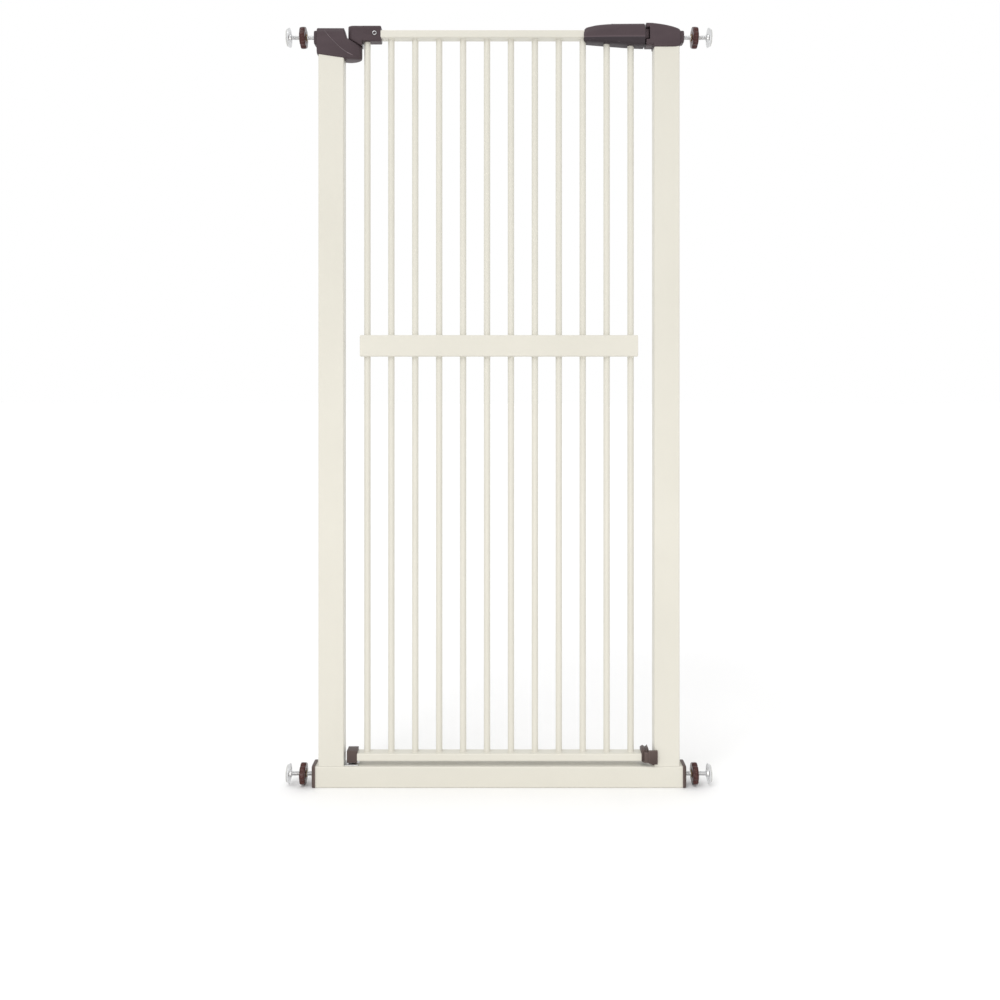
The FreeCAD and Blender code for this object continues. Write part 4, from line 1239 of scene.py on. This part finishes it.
def make_hand_wheel(where, place):
    """The fluted hand wheel, barrel-shaped with a shallow boss on each face."""
    node = "hand_nut_" + where
    low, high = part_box(node)
    near, far = x_reach(node)
    full = (high.y - low.y) / 2
    flutes = 8
    flute_depth = 2.2 * MM
    flute_root = 0.8 * full
    drawn_radius = 21.5 * MM

    def fluted(radius, angle):
        if radius < flute_root:
            return radius
        dip = (0.5 - 0.5 * math.cos(flutes * angle)) ** 1.6
        return radius - flute_depth * dip * (radius - flute_root) / (full - flute_root)

    half = [
        (0.0, 7.1 * MM),
        (0.0, 10.2 * MM),
        (0.7 * MM, 10.8 * MM),
        (0.8 * MM, 16.6 * MM),
        (1.0 * MM, 19.6 * MM),
        (1.4 * MM, 20.5 * MM),
        (2.0 * MM, 21.0 * MM),
        (3.0 * MM, 21.25 * MM),
        (5.0 * MM, 21.4 * MM),
        (8.0 * MM, drawn_radius),
    ]
    half = [(along, radius * full / drawn_radius) for along, radius in half]
    profile = [(near + along, radius) for along, radius in half]
    profile += [(far - along, radius) for along, radius in reversed(half[:-1])]
    wheel = Shape().add(lathe(tube_profile(profile), 128, fluted), place).mesh("wheel")
    finish_piece(wheel, "hand_wheel_" + where, "nut_" + where, "maroon_plastic", [node])


def make_spindle(height, word):
    """One spindle: threaded rod, pressed disc, rubber face, insert and hand wheel."""
    where = f"{height}_{word}"
    place = Matrix.Translation((0, 0, at("spindle_rod_" + where).z)) @ outwards(word)
    make_rod(where, place)
    make_disc(where, place)
    make_pad(where, place)
    make_insert(where, place)
    make_hand_wheel(where, place)


# ---------------------------------------------------------------- studio

def put(name, data):
    """A new object in the scene that holds the mesh, lamp or camera."""
    holder = bpy.data.objects.new(name, data)
    bpy.context.scene.collection.objects.link(holder)
    return holder


def aim_along(direction):
    """The rotation of a lamp that shines along the direction."""
    return Vector(direction).to_track_quat("-Z", "Y").to_euler()


def make_floor():
    """A plain pale floor that runs far past the gate."""
    reach = 30.0
    data = bpy.data.meshes.new("floor")
    data.from_pydata(
        [(-reach, -reach, 0), (reach, -reach, 0), (reach, reach, 0), (-reach, reach, 0)],
        [], [(0, 1, 2, 3)],
    )
    floor = put("floor", data)
    finish = Finish("studio_floor", Roughness=0.9)
    finish.use(Base_Color=finish.blend(finish.noise(2.0), (0.88, 0.88, 0.88), (0.90, 0.90, 0.90)))
    data.materials.append(finish.material)


def make_light(name, place, target, size, power, tint):
    """A rectangular lamp at a place, turned to its target."""
    lamp = bpy.data.lights.new(name, "AREA")
    lamp.shape = "RECTANGLE"
    lamp.size, lamp.size_y = size
    lamp.energy = power
    lamp.color = tint
    holder = put(name, lamp)
    holder.location = place
    holder.rotation_euler = aim_along(Vector(target) - Vector(place))


def make_sun(place, strength):
    """A broad, even light from one direction, so that the floor stays one tone."""
    lamp = bpy.data.lights.new("sky", "SUN")
    lamp.energy = strength
    lamp.angle = math.radians(35)
    holder = put("sky", lamp)
    holder.location = place
    holder.rotation_euler = aim_along(-Vector(place))


def make_studio():
    """White surroundings, a broad sky light, a soft key light and a warm fill near the floor."""
    world = bpy.data.worlds.new("studio")
    world.use_nodes = True
    background = world.node_tree.nodes["Background"]
    background.inputs["Color"].default_value = (1, 1, 1, 1)
    background.inputs["Strength"].default_value = 1.0
    bpy.context.scene.world = world
    bpy.context.scene.view_settings.view_transform = "Standard"
    make_sun(place=(-1.2, -2.4, 3.0), strength=0.72)
    make_light(
        "key", place=(-1.4, -2.2, 3.3), target=(0, 0, 1.3), size=(0.4, 0.4), power=5,
        tint=(1.0, 1.0, 1.0),
    )
    make_light(
        "fill", place=(0, -2.2, 0.25), target=(0, 0, 0), size=(1.6, 0.4), power=7.5,
        tint=(1.0, 0.93, 0.86),
    )


def make_camera():
    """A level camera, square to the gate, whose picture is shifted down instead of tilted."""
    distance = 1.9
    width_seen = 1.957
    height = 0.80
    middle_seen = 0.564
    offset = 0.002
    lens = bpy.data.cameras.new("camera")
    lens.sensor_width = 36.0
    lens.lens = lens.sensor_width * distance / width_seen
    lens.shift_y = (middle_seen - height) / width_seen
    lens.clip_end = 100.0
    camera = put("camera", lens)
    front = at("threshold_rail", "low").y
    camera.location = (offset, front - distance, height)
    camera.rotation_euler = (math.pi / 2, 0, 0)
    bpy.context.scene.camera = camera


paint_tubes()
make_welds()
make_mid_rail_plugs()
make_hinge_post_cap()
make_hinge_bracket()
make_hinge_pin()
make_foot_bracket()
make_pivot_corner()
make_screws()
make_handle()
make_handle_base()
make_bolt()
make_thumb_slide()
make_latch_post_cap()
make_catch()
make_end_plugs()
for height, word in CORNERS:
    make_spindle(height, word)
make_floor()
make_studio()
make_camera()
